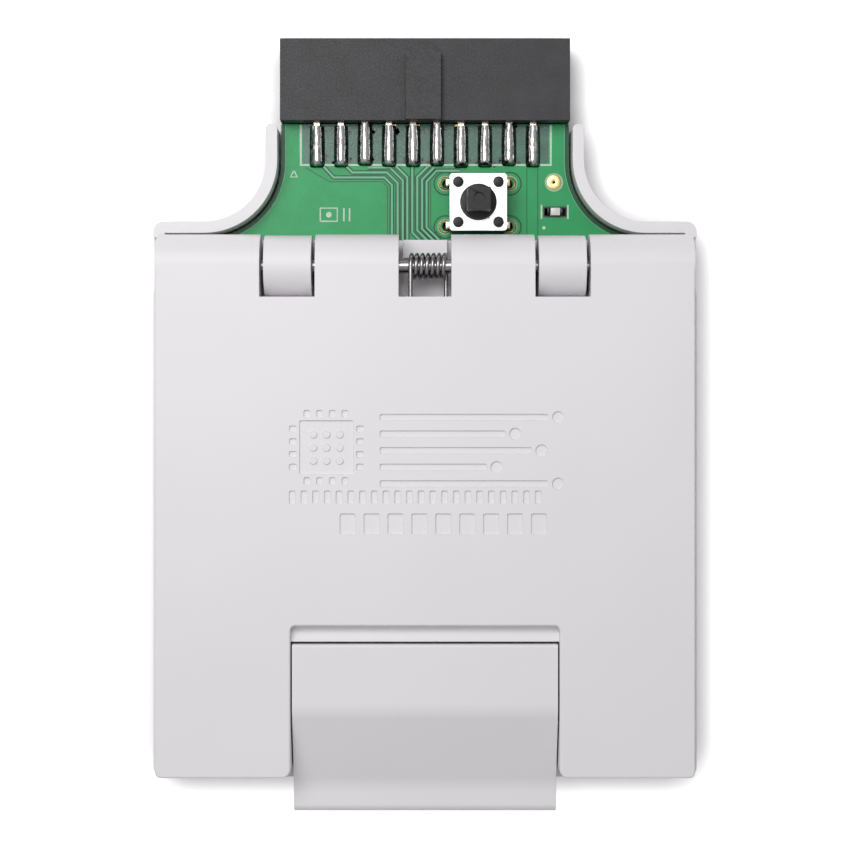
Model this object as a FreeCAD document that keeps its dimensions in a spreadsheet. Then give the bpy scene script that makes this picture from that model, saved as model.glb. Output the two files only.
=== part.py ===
import FreeCAD, Part
import math
import os

import Sketcher
from FreeCAD import Placement, Rotation, Vector

# A flip-top adapter that presses a ball-grid chip on to sprung contacts over a small board.
# X runs across the adapter, +Y towards the header at the rear, +Z up from the underside.
os.makedirs("parts", exist_ok=True)
doc = FreeCAD.newDocument("BgaSocketAdapter")

# Driving dimensions in millimetres and degrees: name, value, meaning.
DRIVING = [
    ("baseFront", -36.9, "Y of the base's front face"),
    ("shoulderY", 21.35, "Y of the base's rear shoulder"),
    ("neckWidth", 33.4, "neck of the base, over its walls"),
    ("shoulderFlat", 4.3, "straight part of a rear shoulder"),
    ("neckEnd", 31.6, "Y where the neck walls end"),
    ("rimWall", 1.2, "thickness of the rim"),
    ("sweepRadius", 6.5, "concave sweep from shoulder to neck"),
    ("cornerRadius", 1.0, "outer corners of the base"),
    ("wallEndRadius", 0.55, "rounded ends of the neck walls"),
    ("coverThick", 1.5, "bottom cover"),
    ("coverEdge", 0.3, "chamfer round the bottom cover"),
    ("boardRise", 1.5, "board above the bottom cover"),
    ("boardThick", 1.6, "circuit board"),
    ("boardGap", 0.25, "board to rim, all round"),
    ("boardEnd", 31.9, "Y of the board's rear edge"),
    ("rimRise", 2.4, "rim above the board"),
    ("deckEnd", 19.43, "Y of the deck's rear edge"),
    ("blockRear", -28.25, "Y of the rear face of the solid front block"),
    ("screwX", 22.5, "cover screws, from the centre line"),
    ("screwFront", -24.5, "Y of the front cover screws"),
    ("screwRear", 9.0, "Y of the rear cover screws"),
    ("screwRadius", 1.0, "cover screw thread"),
    ("screwHead", 1.9, "radius of the countersunk head"),
    ("screwReach", 1.7, "thread length in the deck"),
    ("screwGap", 0.1, "clearance round screws"),
    ("driveLength", 2.0, "cross slot of a cover screw, end to end"),
    ("driveWidth", 0.4, "cross slot"),
    ("driveDepth", 0.5, "cross slot"),
    ("standoffWall", 1.2, "wall of the cover's standoffs"),
    ("hingeY", 16.5, "Y of the hinge axis"),
    ("hingeRise", 2.0, "hinge axis above the rim"),
    ("lidRadius", 3.3, "lid knuckles"),
    ("standRadius", 3.2, "base hinge stands"),
    ("standCentre", 14.16, "stands, from the centre line"),
    ("standWidth", 4.9, "each stand"),
    ("standFoot", 5.4, "foot of a stand, front to rear"),
    ("knuckleGap", 0.4, "side gap between stand and lid"),
    ("troughGap", 0.2, "lid knuckle to its trough"),
    ("troughLip", 0.8, "drop of the deck's rear lip behind a knuckle"),
    ("springSlot", 5.44, "slot in the lid for the spring"),
    ("slotGap", 0.15, "stand to the front wall of its slot"),
    ("pinRadius", 0.75, "hinge and latch pins"),
    ("pinFit", 0.05, "running clearance of the pins"),
    ("pinInset", 0.4, "pin ends below the lid's sides"),
    ("springWire", 0.45, "spring wire diameter"),
    ("springRadius", 1.2, "spring coil, to the wire's centre"),
    ("springPitch", 0.57, "spring, turn to turn"),
    ("springTurns", 6.5, "turns"),
    ("springStart", -1.5, "X of the first turn"),
    ("springLeg", 6.0, "length of a leg"),
    ("wellDepth", 1.1, "well under the spring"),
    ("wellRear", 17.5, "Y of the well's rear wall"),
    ("lidInset", 0.8, "lid's sides inside the base's"),
    ("lidFront", -36.2, "Y of the lid's front face"),
    ("lidGap", 0.1, "lid above the rim"),
    ("lidCorner", 0.6, "front corners of the lid"),
    ("lidEdge", 0.2, "rounding of the lid's upper edges"),
    ("notchWidth", 27.6, "notch for the latch"),
    ("notchRear", -20.6, "Y of the notch's rear wall"),
    ("notchCorner", 0.9, "front corners of the notch"),
    ("notchFillet", 0.5, "rear corners of the notch"),
    ("floorThick", 0.9, "floor of the notch"),
    ("floorFront", -28.9, "Y of the floor's front edge"),
    ("roofThick", 1.2, "lid over the chamber"),
    ("chamberMargin", 0.5, "chamber in the lid, wider than the window all round"),
    ("chamberCorner", 1.5, "corners of the chamber"),
    ("channelRoof", 1.6, "lid over the spring's legs"),
    ("latchSide", 0.15, "gap beside the latch"),
    ("latchDrop", 0.2, "latch below the lid's top"),
    ("tailRear", -22.5, "Y of the latch's rear edge"),
    ("tailThick", 1.8, "latch over its springs"),
    ("tailEdge", 0.3, "rounding of the latch's rear edge"),
    ("crestY", -28.6, "Y where the latch starts to fall"),
    ("crestRadius", 4.0, "latch, convex bend"),
    ("slopeAngle", 23.0, "fall of the latch"),
    ("lipDrop", 3.4, "lip below the latch's top"),
    ("lipRadius", 4.0, "latch, concave bend"),
    ("lipEnd", -40.25, "Y of the lip's end"),
    ("lipThick", 1.5, "lip"),
    ("pivotY", -31.0, "Y of the latch pin"),
    ("pivotDrop", 2.9, "latch pin below the lid's top"),
    ("heelRear", 1.4, "rear of the latch's heel behind its pin"),
    ("heelRise", 0.8, "height of the heel's bevel"),
    ("heelSlope", 1.2, "run of the latch's underside up to the tail"),
    ("hookWidth", 10.0, "hook of the latch"),
    ("hookThick", 2.0, "hook, front to rear"),
    ("hookBack", 0.3, "hook's rear face in front of the pin"),
    ("toeReach", 0.8, "toe beyond the hook"),
    ("toeHeight", 1.1, "toe, top to bottom"),
    ("toeBevel", 0.6, "lead-in under the toe"),
    ("toeGap", 0.1, "toe to ledge"),
    ("ledgeThick", 1.6, "ledge over the toe"),
    ("hookSwing", 1.6, "room in front of the hook"),
    ("hookSide", 0.4, "room beside the hook"),
    ("toeRoom", 0.6, "room behind and below the toe"),
    ("latchSpringY", -26.9, "Y of the latch springs"),
    ("latchSpringX", 8.5, "latch springs, from the centre line"),
    ("latchTravel", 1.15, "room left over a latch spring"),
    ("socketY", -4.0, "Y of the chip's centre"),
    ("windowSize", 26.0, "square window in the deck"),
    ("windowCorner", 1.0, "corners of the window"),
    ("blockGap", 0.2, "contact block to window"),
    ("blockThick", 1.8, "contact block"),
    ("guideGap", 0.4, "chip guide to window"),
    ("guideRise", 0.5, "chip guide above the block"),
    ("guideThick", 1.2, "chip guide"),
    ("guideFloor", 0.4, "floor of the chip pocket"),
    ("guideTravel", 0.35, "travel of the chip guide"),
    ("leadIn", 0.4, "chamfer of the chip pocket"),
    ("chipSide", 6.0, "chip, from the window's sides"),
    ("chipEnd", 4.0, "chip, from the window's front and rear"),
    ("chipGap", 0.1, "chip to pocket"),
    ("ballPitch", 1.0, "contact pitch"),
    ("pinsAcross", 3, "contacts across one group"),
    ("pinsAlong", 5, "contacts along one group"),
    ("groupBorder", 2.0, "outermost contacts, from the chip's sides"),
    ("contactSize", 0.44, "square contact pin"),
    ("contactTip", 0.16, "width of the pin's tip"),
    ("contactBevel", 0.2, "height of the tip's bevels"),
    ("contactGap", 0.08, "contact pin to its hole"),
    ("contactRise", 0.3, "pin tips above the pocket's floor"),
    ("contactFoot", 0.4, "pin's foot above the board"),
    ("ledge", 0.8, "ledge under the chip's edge"),
    ("guideScrewInset", 1.8, "guide screws, from the block's sides"),
    ("guideScrewHead", 1.1, "radius of a guide screw's head"),
    ("guideScrewRim", 0.5, "height of a guide screw's head"),
    ("guideScrewBody", 0.8, "shoulder radius"),
    ("guideScrewCore", 0.6, "thread radius"),
    ("guideSpringStep", 4.0, "guide springs, from the guide screws"),
    ("guideSpringInset", 2.6, "guide springs, from the block's sides"),
    ("smallCoil", 0.75, "small springs, to the wire's middle"),
    ("smallWire", 0.3, "small springs, square wire"),
    ("smallTurns", 2.5, "small springs, turns"),
    ("springPocket", 1.1, "depth of a guide spring's pocket"),
    ("springSide", 0.15, "room round a small spring"),
    ("plateGap", 0.3, "pressure plate to chamber"),
    ("plateThick", 1.0, "pressure plate's flange"),
    ("padRise", 0.6, "pad below the flange"),
    ("padClear", 0.2, "pad above the chip guide"),
    ("padInset", 0.2, "pad inside the pocket's outline"),
    ("plateTravel", 0.5, "travel of the pressure plate"),
    ("plateScrewInset", 2.0, "plate screws, from the plate's sides"),
    ("plateScrewHead", 1.4, "radius of a plate screw's head"),
    ("plateScrewRim", 0.4, "height of a plate screw's head"),
    ("plateScrewBody", 0.8, "shank radius"),
    ("plateScrewGap", 0.15, "shank to plate"),
    ("plateScrewBite", 0.7, "thread in the lid's roof"),
    ("headGap", 0.05, "screw head to the piece it holds"),
    ("plateSpringSide", 5.7, "plate springs, from the plate's sides"),
    ("plateSpringInset", 2.4, "plate springs, from the plate's front and rear"),
    ("plateSpringSeat", 0.6, "depth of a plate spring's seat"),
    ("headerFront", 32.0, "Y of the header's front face"),
    ("headerWidth", 30.48, "header, side to side"),
    ("headerLength", 8.63, "header, front to rear"),
    ("headerHeight", 6.0, "header"),
    ("headerPitch", 2.54, "contact pitch"),
    ("headerCount", 10, "contacts in a row"),
    ("keyWidth", 3.77, "key on the header"),
    ("keyCentre", -0.18, "X of the key's centre"),
    ("keyRise", 0.9, "height of the key"),
    ("keyEnd", 39.85, "Y of the key's rear end"),
    ("keyCorner", 0.9, "chamfered rear corners of the key"),
    ("mouthSize", 0.9, "square mouth of a contact"),
    ("mouthFlare", 0.3, "flare of the mouth"),
    ("mouthDepth", 1.1, "depth of the mouth"),
    ("cellWidth", 1.7, "contact cell, side to side"),
    ("cellHeight", 1.3, "contact cell"),
    ("cellFront", 33.7, "Y of the cell's front wall"),
    ("tailSize", 0.64, "square contact tail"),
    ("tailFit", 0.03, "tail to its hole"),
    ("tailStart", 27.8, "Y of the tails' front ends"),
    ("forkRear", 39.2, "Y of the forks' ends"),
    ("forkHalf", 0.7, "fork, half width"),
    ("forkBeam", 0.22, "fork beam"),
    ("forkWeb", 0.7, "fork web"),
    ("solderHalf", 0.65, "solder joint, half width"),
    ("solderNose", 0.5, "solder in front of a tail"),
    ("solderEnd", 31.5, "Y of the solder's rear end"),
    ("switchX", 5.57, "X of the switch"),
    ("switchY", 23.3, "Y of the switch"),
    ("switchSize", 6.0, "square switch"),
    ("switchRise", 3.3, "switch body"),
    ("switchWall", 0.7, "wall of the switch body"),
    ("switchFloor", 0.9, "floor of the switch body"),
    ("plateSheet", 0.2, "switch cover plate"),
    ("plateCorner", 0.35, "corners of the cover plate"),
    ("plateHole", 1.9, "radius of the plate's hole"),
    ("rivetPitch", 4.2, "rivet to rivet"),
    ("rivetRadius", 0.55, "rivet head"),
    ("rivetRise", 0.25, "rivet head above the plate"),
    ("rivetShank", 0.4, "radius of a rivet's shank"),
    ("flangeRadius", 1.82, "plunger's round flange"),
    ("flangeRise", 0.8, "flange above the plate"),
    ("skirtRadius", 2.15, "plunger's skirt under the plate"),
    ("skirtThick", 0.6, "skirt"),
    ("stemSize", 2.35, "square stem"),
    ("stemTop", 7.3, "stem's top above the board"),
    ("stemLedge", 0.15, "ledge round the stem's foot"),
    ("dimpleRadius", 0.6, "dimple in the stem's top"),
    ("dimpleDepth", 0.25, "dimple"),
    ("switchTravel", 0.25, "travel of the switch"),
    ("domeRadius", 1.9, "snap dome"),
    ("domeRise", 0.35, "snap dome"),
    ("domeSheet", 0.1, "snap dome's sheet"),
    ("domeRim", 0.3, "flat rim of the snap dome"),
    ("legX", 3.25, "switch legs, from its centre"),
    ("legY", 2.25, "switch legs, from its centre"),
    ("legWidth", 0.7, "switch leg"),
    ("legThick", 0.25, "switch leg"),
    ("legRise", 1.6, "leg's bend above the board"),
    ("legTail", 1.0, "leg below the board"),
    ("legHole", 0.5, "radius of a leg's hole"),
    ("padSide", 3.02, "test pad, from the neck's side"),
    ("padY", 25.73, "Y of the test pad"),
    ("padRadius", 0.735, "test pad"),
    ("padHole", 0.15, "hole of the test pad"),
    ("padThick", 0.05, "test pad"),
    ("lightInset", 2.91, "indicator light, from the neck's side"),
    ("lightY", 22.59, "Y of the indicator light"),
    ("lightLength", 1.6, "light body"),
    ("lightWidth", 0.8, "light body"),
    ("lightRise", 0.25, "light body"),
    ("lensLength", 1.0, "lens"),
    ("lensRise", 0.35, "lens"),
    ("capLength", 0.3, "light's end terminal"),
    ("capReach", 0.35, "solder beyond the light"),
    ("beyond", 2.0, "how far an open cut runs past the face that it leaves by"),
]


class Size:
    """A number together with the sheet expression that gives it."""

    def __init__(self, value, text):
        self.value = float(value)
        self.text = text

    def combine(self, other, sign, value):
        return Size(value, f"({self.text} {sign} {other.text})")

    def __add__(self, other):
        other = as_size(other)
        return self.combine(other, "+", self.value + other.value)

    def __sub__(self, other):
        other = as_size(other)
        return self.combine(other, "-", self.value - other.value)

    def __mul__(self, other):
        other = as_size(other)
        return self.combine(other, "*", self.value * other.value)

    def __truediv__(self, other):
        other = as_size(other)
        return self.combine(other, "/", self.value / other.value)

    def __neg__(self):
        return Size(-self.value, f"(0 - {self.text})")


def as_size(number):
    if isinstance(number, Size):
        return number
    return Size(number, f"({number})")


def sine(angle):
    return Size(math.sin(math.radians(angle.value)), f"sin({angle.text})")


def cosine(angle):
    return Size(math.cos(math.radians(angle.value)), f"cos({angle.text})")


class Dimensions:
    """The sheet of driving dimensions, one Size for each alias."""

    def __init__(self, rows):
        sheet = doc.addObject("Spreadsheet::Sheet", "dims")
        for row, (alias, value, meaning) in enumerate(rows, start=1):
            sheet.set(f"A{row}", meaning)
            sheet.set(f"B{row}", str(value))
            sheet.setAlias(f"B{row}", alias)
            setattr(self, alias, Size(value, f"dims.{alias}"))


d = Dimensions(DRIVING)
doc.recompute()

ZERO = Size(0, "0")
WIRE_SIDES = 8
SAME_PLACE = 0.01
LEAST_CUT = 0.0001

# Heights from the underside.
coverTop = d.coverThick
boardBottom = coverTop + d.boardRise
boardTop = boardBottom + d.boardThick
boardMiddle = boardBottom + d.boardThick / 2
rimTop = boardTop + d.rimRise
hingeZ = rimTop + d.hingeRise
lidBottom = rimTop + d.lidGap
lidTop = hingeZ + d.lidRadius
roofBottom = lidTop - d.roofThick
floorTop = lidBottom + d.floorThick
pivotZ = lidTop - d.pivotDrop
blockTop = boardTop + d.blockThick
guideBottom = blockTop + d.guideRise
guideTop = guideBottom + d.guideThick
pocketFloor = guideBottom + d.guideFloor
padBottom = guideTop + d.padClear
plateBottom = padBottom + d.padRise
plateTop = plateBottom + d.plateThick
switchTop = boardTop + d.switchRise
sheetTop = switchTop + d.plateSheet

# Half widths and inner outline of the base.
neckHalf = d.neckWidth / 2
baseHalf = neckHalf + d.sweepRadius + d.shoulderFlat + d.cornerRadius
lidHalf = baseHalf - d.lidInset
notchHalf = d.notchWidth / 2
pinBore = d.pinRadius + d.pinFit
slotHalf = d.standWidth / 2 + d.knuckleGap
springHalf = d.springSlot / 2
padPlace = neckHalf - d.padSide
lightPlace = neckHalf - d.lightInset
windowHalf = d.windowSize / 2
chipHalfWidth = windowHalf - d.chipSide
chipHalfLength = windowHalf - d.chipEnd
blockHalf = windowHalf - d.blockGap
chamberHalf = windowHalf + d.chamberMargin
plateHalf = chamberHalf - d.plateGap
guideScrewX = blockHalf - d.guideScrewInset
guideSpringX = blockHalf - d.guideSpringInset
guideSpringY = guideScrewX - d.guideSpringStep
plateScrewX = plateHalf - d.plateScrewInset
plateSpringX = plateHalf - d.plateSpringSide
plateSpringY = plateHalf - d.plateSpringInset
slotFront = d.hingeY - d.standRadius - d.slotGap

cuts = []
pieces = []


# Sketches and features

def origin_part(body, role):
    for feature in body.Origin.OriginFeatures:
        if feature.Role == role:
            return feature
    raise ValueError(role)


def new_body(name):
    body = doc.addObject("PartDesign::Body", name)
    body.Label = name
    body.AllowCompound = True
    pieces.append(body)
    return body


def fix_point(sketch, index, point, x, y):
    """Hold one point of one edge at x, y from the sketch's origin."""
    for kind, axis, place in (("DistanceX", -2, x), ("DistanceY", -1, y)):
        if place.text == ZERO.text:
            sketch.addConstraint(Sketcher.Constraint("PointOnObject", index, point, axis))
        else:
            number = sketch.addConstraint(Sketcher.Constraint(kind, -1, 1, index, point, place.value))
            sketch.setExpression(f"Constraints[{number}]", place.text)


def line(x, y):
    return ("line", as_size(x), as_size(y))


def arc(x, y, centreX, centreY, turn):
    """Arc on to x, y about a centre: turn is 1 anticlockwise, -1 clockwise."""
    return ("arc", as_size(x), as_size(y), as_size(centreX), as_size(centreY), turn)


def circle(x, y, radius):
    return [("circle", as_size(x), as_size(y), as_size(radius))]


def rectangle(x0, y0, x1, y1):
    return [line(x0, y0), line(x1, y0), line(x1, y1), line(x0, y1)]


def rounded(x0, y0, x1, y1, radius):
    """Rectangle with rounded corners, anticlockwise."""
    x0, y0, x1, y1 = as_size(x0), as_size(y0), as_size(x1), as_size(y1)
    left, right = x0 + radius, x1 - radius
    low, high = y0 + radius, y1 - radius
    return [
        arc(left, y0, left, low, 1),
        line(right, y0),
        arc(x1, low, right, low, 1),
        line(x1, high),
        arc(right, y1, right, high, 1),
        line(left, y1),
        arc(x0, high, left, high, 1),
        line(x0, low),
    ]


def draw_circle(sketch, step):
    x, y, radius = step[1:4]
    index = sketch.addGeometry(Part.Circle(Vector(x.value, y.value, 0), Vector(0, 0, 1), radius.value))
    fix_point(sketch, index, 3, x, y)
    number = sketch.addConstraint(Sketcher.Constraint("Radius", index, radius.value))
    sketch.setExpression(f"Constraints[{number}]", radius.text)


def draw_edge(sketch, start, step):
    """One edge from start to the step's end: its index and its start and end point numbers."""
    first = Vector(start[1].value, start[2].value, 0)
    last = Vector(step[1].value, step[2].value, 0)
    if step[0] == "line":
        return sketch.addGeometry(Part.LineSegment(first, last)), 1, 2
    centre = Vector(step[3].value, step[4].value, 0)
    low, high = (first, last) if step[5] > 0 else (last, first)
    low_angle = math.atan2(low.y - centre.y, low.x - centre.x)
    high_angle = math.atan2(high.y - centre.y, high.x - centre.x)
    if high_angle <= low_angle:
        high_angle += 2 * math.pi
    ring = Part.Circle(centre, Vector(0, 0, 1), (first - centre).Length)
    index = sketch.addGeometry(Part.ArcOfCircle(ring, low_angle, high_angle))
    chord = last - first
    if abs(chord.y) > abs(chord.x):
        number = sketch.addConstraint(Sketcher.Constraint("DistanceX", -1, 1, index, 3, centre.x))
        sketch.setExpression(f"Constraints[{number}]", step[3].text)
    else:
        number = sketch.addConstraint(Sketcher.Constraint("DistanceY", -1, 1, index, 3, centre.y))
        sketch.setExpression(f"Constraints[{number}]", step[4].text)
    return (index, 1, 2) if step[5] > 0 else (index, 2, 1)


def draw(sketch, path):
    """A closed outline: each step ends one edge, and the last step's end starts the first."""
    if path[0][0] == "circle":
        draw_circle(sketch, path[0])
        return
    edges = [draw_edge(sketch, path[place - 1], step) for place, step in enumerate(path)]
    for place, (index, first, last) in enumerate(edges):
        before = edges[place - 1]
        sketch.addConstraint(Sketcher.Constraint("Coincident", before[0], before[2], index, first))
        fix_point(sketch, index, last, path[place][1], path[place][2])


def sketch_on(body, name, role, paths, offset=ZERO, shift=ZERO):
    """Sketch on an origin plane, moved by offset along its normal and by shift along its own x."""
    sketch = body.newObject("Sketcher::SketchObject", f"{name}_sketch")
    sketch.AttachmentSupport = [(origin_part(body, role), "")]
    sketch.MapMode = "FlatFace"
    sketch.setExpression("AttachmentOffset.Base.z", offset.text)
    sketch.setExpression("AttachmentOffset.Base.x", shift.text)
    for path in paths:
        draw(sketch, path)
    return sketch


def extrude(body, name, kind, role, paths, low, high):
    low, high = as_size(low), as_size(high)
    start = -high if role == "XZ_Plane" else low
    sketch = sketch_on(body, name, role, paths, start)
    feature = body.newObject(kind, name)
    feature.Profile = sketch
    feature.setExpression("Length", (high - low).text)
    body.Tip = feature
    return feature


def pad(body, name, role, paths, low, high):
    """Solid between two levels along the plane's axis."""
    return extrude(body, name, "PartDesign::Pad", role, paths, low, high)


def pocket(body, name, role, paths, low, high):
    """Cut between two levels along the plane's axis."""
    feature = extrude(body, name, "PartDesign::Pocket", role, paths, low, high)
    feature.Reversed = True
    cuts.append(feature)
    return feature


def turned(body, name, path, x, y, kind="PartDesign::Revolution"):
    """Outline of radius and height turned about the upright line through x, y."""
    sketch = sketch_on(body, name, "XZ_Plane", [path], -as_size(y), as_size(x))
    feature = body.newObject(kind, name)
    feature.Profile = sketch
    feature.ReferenceAxis = (sketch, ["V_Axis"])
    feature.Angle = 360
    body.Tip = feature
    if kind == "PartDesign::Groove":
        cuts.append(feature)
    return feature


def repeat(body, name, originals, firstRow, secondRow=None):
    """The given features again along one row, or along two, each (axis, step, count)."""
    pattern = body.newObject("PartDesign::LinearPattern", name)
    pattern.Originals = originals
    axis, step, count = firstRow
    pattern.Direction = (origin_part(body, axis), [""])
    pattern.Mode = "Spacing"
    pattern.setExpression("Offset", as_size(step).text)
    pattern.setExpression("Occurrences", as_size(count).text)
    if secondRow:
        axis, step, count = secondRow
        pattern.Direction2 = (origin_part(body, axis), [""])
        pattern.Mode2 = "Extent"
        pattern.setExpression("Length2", (as_size(step) * (as_size(count) - 1)).text)
        pattern.setExpression("Occurrences2", as_size(count).text)
    body.Tip = pattern
    return pattern


def corners(stepX, stepY):
    """Two rows that put a feature at the four corners of a rectangle."""
    return ("X_Axis", stepX, 2), ("Y_Axis", stepY, 2)


def mirror(body, name, originals):
    """The given features again on the other side of the centre plane."""
    feature = body.newObject("PartDesign::Mirrored", name)
    feature.Originals = originals
    feature.MirrorPlane = (origin_part(body, "YZ_Plane"), [""])
    body.Tip = feature
    return feature


def edges_where(feature, test):
    """Names of the edges whose two ends both pass the test."""
    names = []
    for number, edge in enumerate(feature.Shape.Edges, start=1):
        if len(edge.Vertexes) == 2 and all(test(corner.Point) for corner in edge.Vertexes):
            names.append(f"Edge{number}")
    return names


def near(first, second):
    return abs(first - second) < SAME_PLACE


def dress(body, name, kind, base, names, sizeName, size):
    """Fillet or chamfer on edges of the base feature."""
    feature = body.newObject(kind, name)
    feature.Base = (base, names)
    feature.setExpression(sizeName, size.text)
    body.Tip = feature
    return feature


# Base

def base_outline():
    """Outer outline of the base and its cover: a wide tray that sweeps in to a neck."""
    centreX = neckHalf + d.sweepRadius
    centreY = d.shoulderY + d.sweepRadius
    corner = d.cornerRadius
    side = baseHalf - corner
    return [
        arc(-side, d.baseFront, -side, d.baseFront + corner, 1),
        line(side, d.baseFront),
        arc(baseHalf, d.baseFront + corner, side, d.baseFront + corner, 1),
        line(baseHalf, d.shoulderY - corner),
        arc(side, d.shoulderY, side, d.shoulderY - corner, 1),
        line(centreX, d.shoulderY),
        arc(neckHalf, centreY, centreX, centreY, -1),
        line(neckHalf, d.neckEnd),
        line(-neckHalf, d.neckEnd),
        line(-neckHalf, centreY),
        arc(-centreX, d.shoulderY, -centreX, centreY, -1),
        line(-side, d.shoulderY),
        arc(-baseHalf, d.shoulderY - corner, -side, d.shoulderY - corner, 1),
        line(-baseHalf, d.baseFront + corner),
    ]


def inner_outline(inset, front, rear):
    """The base's outline moved in by inset, between a front and a rear line."""
    centreX = neckHalf + d.sweepRadius
    centreY = d.shoulderY + d.sweepRadius
    neck = neckHalf - inset
    side = baseHalf - inset
    shoulder = d.shoulderY - inset
    return [
        line(-side, front),
        line(side, front),
        line(side, shoulder),
        line(centreX, shoulder),
        arc(neck, centreY, centreX, centreY, -1),
        line(neck, rear),
        line(-neck, rear),
        line(-neck, centreY),
        arc(-centreX, shoulder, -centreX, centreY, -1),
        line(-side, shoulder),
    ]


def make_base_frame():
    body = new_body("base_frame")
    pad(body, "tray", "XY_Plane", [base_outline()], coverTop, rimTop)
    opening = d.neckEnd + d.beyond
    pocket(body, "board_bay", "XY_Plane", [inner_outline(d.rimWall, d.blockRear, opening)],
           coverTop, boardTop)
    pocket(body, "open_rear", "XY_Plane", [inner_outline(d.rimWall, d.deckEnd, opening)],
           boardTop, rimTop)
    pocket(body, "window", "XY_Plane",
           [rounded(-windowHalf, d.socketY - windowHalf, windowHalf, d.socketY + windowHalf,
                    d.windowCorner)],
           boardTop, rimTop)

    # Round troughs let the lid's knuckles turn below the deck's surface.
    troughRadius = d.lidRadius + d.troughGap
    standInner = d.standCentre - d.standWidth / 2
    standOuter = d.standCentre + d.standWidth / 2
    spans = [("inner", springHalf - d.knuckleGap, standInner), ("outer", standOuter, baseHalf + d.beyond)]
    troughs = []
    for name, low, high in spans:
        troughs.append(pocket(body, f"trough_{name}", "YZ_Plane",
                              [circle(d.hingeY, hingeZ, troughRadius)], low, high))
        troughs.append(pocket(body, f"trough_lip_{name}", "YZ_Plane",
                              [rectangle(d.hingeY, rimTop - d.troughLip, d.deckEnd + d.boardGap, hingeZ)],
                              low, high))
    mirror(body, "troughs_left", troughs)
    wellHalf = springHalf - d.knuckleGap
    pocket(body, "spring_well", "XY_Plane",
           [rectangle(-wellHalf, slotFront, wellHalf, d.wellRear)], rimTop - d.wellDepth, rimTop)

    # Two round-topped stands carry the hinge pin.
    foot = d.standFoot / 2
    stands = [
        pad(body, "stand_barrel", "YZ_Plane", [circle(d.hingeY, hingeZ, d.standRadius)],
            standInner, standOuter),
        pad(body, "stand_foot", "YZ_Plane",
            [rectangle(d.hingeY - foot, boardTop, d.hingeY + foot, hingeZ)], standInner, standOuter),
    ]
    mirror(body, "stands_left", stands)
    pocket(body, "hinge_bore", "YZ_Plane", [circle(d.hingeY, hingeZ, pinBore)],
           -standOuter - d.beyond, standOuter + d.beyond)

    # The catch: a slot for the hook, undercut to the rear below the ledge.
    hookRear = d.pivotY - d.hookBack
    ledgeFront = hookRear + d.toeGap
    slotFrontWall = hookRear - d.hookThick - d.hookSwing
    toeBottom = rimTop - d.ledgeThick - d.toeGap - d.toeHeight
    undercutRear = hookRear + d.toeReach + d.toeRoom
    undercutLow = toeBottom - d.toeRoom
    undercutTop = rimTop - d.ledgeThick
    slotSide = d.hookWidth / 2 + d.hookSide
    pocket(body, "catch", "YZ_Plane",
           [[line(slotFrontWall, rimTop + d.beyond), line(slotFrontWall, undercutLow),
             line(undercutRear, undercutLow), line(undercutRear, undercutTop),
             line(ledgeFront, undercutTop), line(ledgeFront, rimTop + d.beyond)]],
           -slotSide, slotSide)

    core = circle(-d.screwX, d.screwFront, d.screwRadius)
    hole = pocket(body, "screw_core", "XY_Plane", [core], boardTop, boardTop + d.screwReach)
    last = repeat(body, "screw_cores", [hole], *corners(d.screwX * 2, d.screwRear - d.screwFront))
    doc.recompute()

    wallInside = (neckHalf - d.rimWall).value
    ends = edges_where(last, lambda p: near(p.y, d.neckEnd.value) and
                       (near(abs(p.x), neckHalf.value) or near(abs(p.x), wallInside)))
    upright = [name for name in ends
               if near(last.Shape.getElement(name).Length, (rimTop - coverTop).value)]
    dress(body, "wall_ends", "PartDesign::Fillet", last, upright, "Radius", d.wallEndRadius)


def make_bottom_cover():
    body = new_body("bottom_cover")
    plate = pad(body, "plate", "XY_Plane", [base_outline()], ZERO, coverTop)
    doc.recompute()
    rim = edges_where(plate, lambda p: near(p.z, 0))
    dress(body, "lower_edge", "PartDesign::Chamfer", plate, rim, "Size", d.coverEdge)
    shank = d.screwRadius + d.screwGap
    standoff = pad(body, "standoff", "XY_Plane",
                   [circle(-d.screwX, d.screwFront, shank + d.standoffWall)], coverTop, boardBottom)
    rows = corners(d.screwX * 2, d.screwRear - d.screwFront)
    repeat(body, "standoffs", [standoff], *rows)
    head = d.screwHead + d.screwGap
    hole = turned(body, "countersink",
                  [line(ZERO, ZERO), line(head, ZERO), line(shank, head - shank),
                   line(shank, boardBottom), line(ZERO, boardBottom)],
                  -d.screwX, d.screwFront, "PartDesign::Groove")
    repeat(body, "countersinks", [hole], *rows)


def make_cover_screws():
    body = new_body("cover_screws")
    head = d.screwHead
    shank = d.screwRadius
    top = boardTop + d.screwReach
    screw = turned(body, "screw",
                   [line(ZERO, d.screwGap), line(head, d.screwGap), line(shank, d.screwGap + head - shank),
                    line(shank, top), line(ZERO, top)],
                   -d.screwX, d.screwFront)
    features = [screw]
    for name, halfX, halfY in (("drive", d.driveLength / 2, d.driveWidth / 2),
                               ("drive_cross", d.driveWidth / 2, d.driveLength / 2)):
        features.append(pocket(body, name, "XY_Plane",
                               [rectangle(-d.screwX - halfX, d.screwFront - halfY,
                                          -d.screwX + halfX, d.screwFront + halfY)],
                               ZERO, d.screwGap + d.driveDepth))
    repeat(body, "screws", features, *corners(d.screwX * 2, d.screwRear - d.screwFront))


# Circuit board

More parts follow.
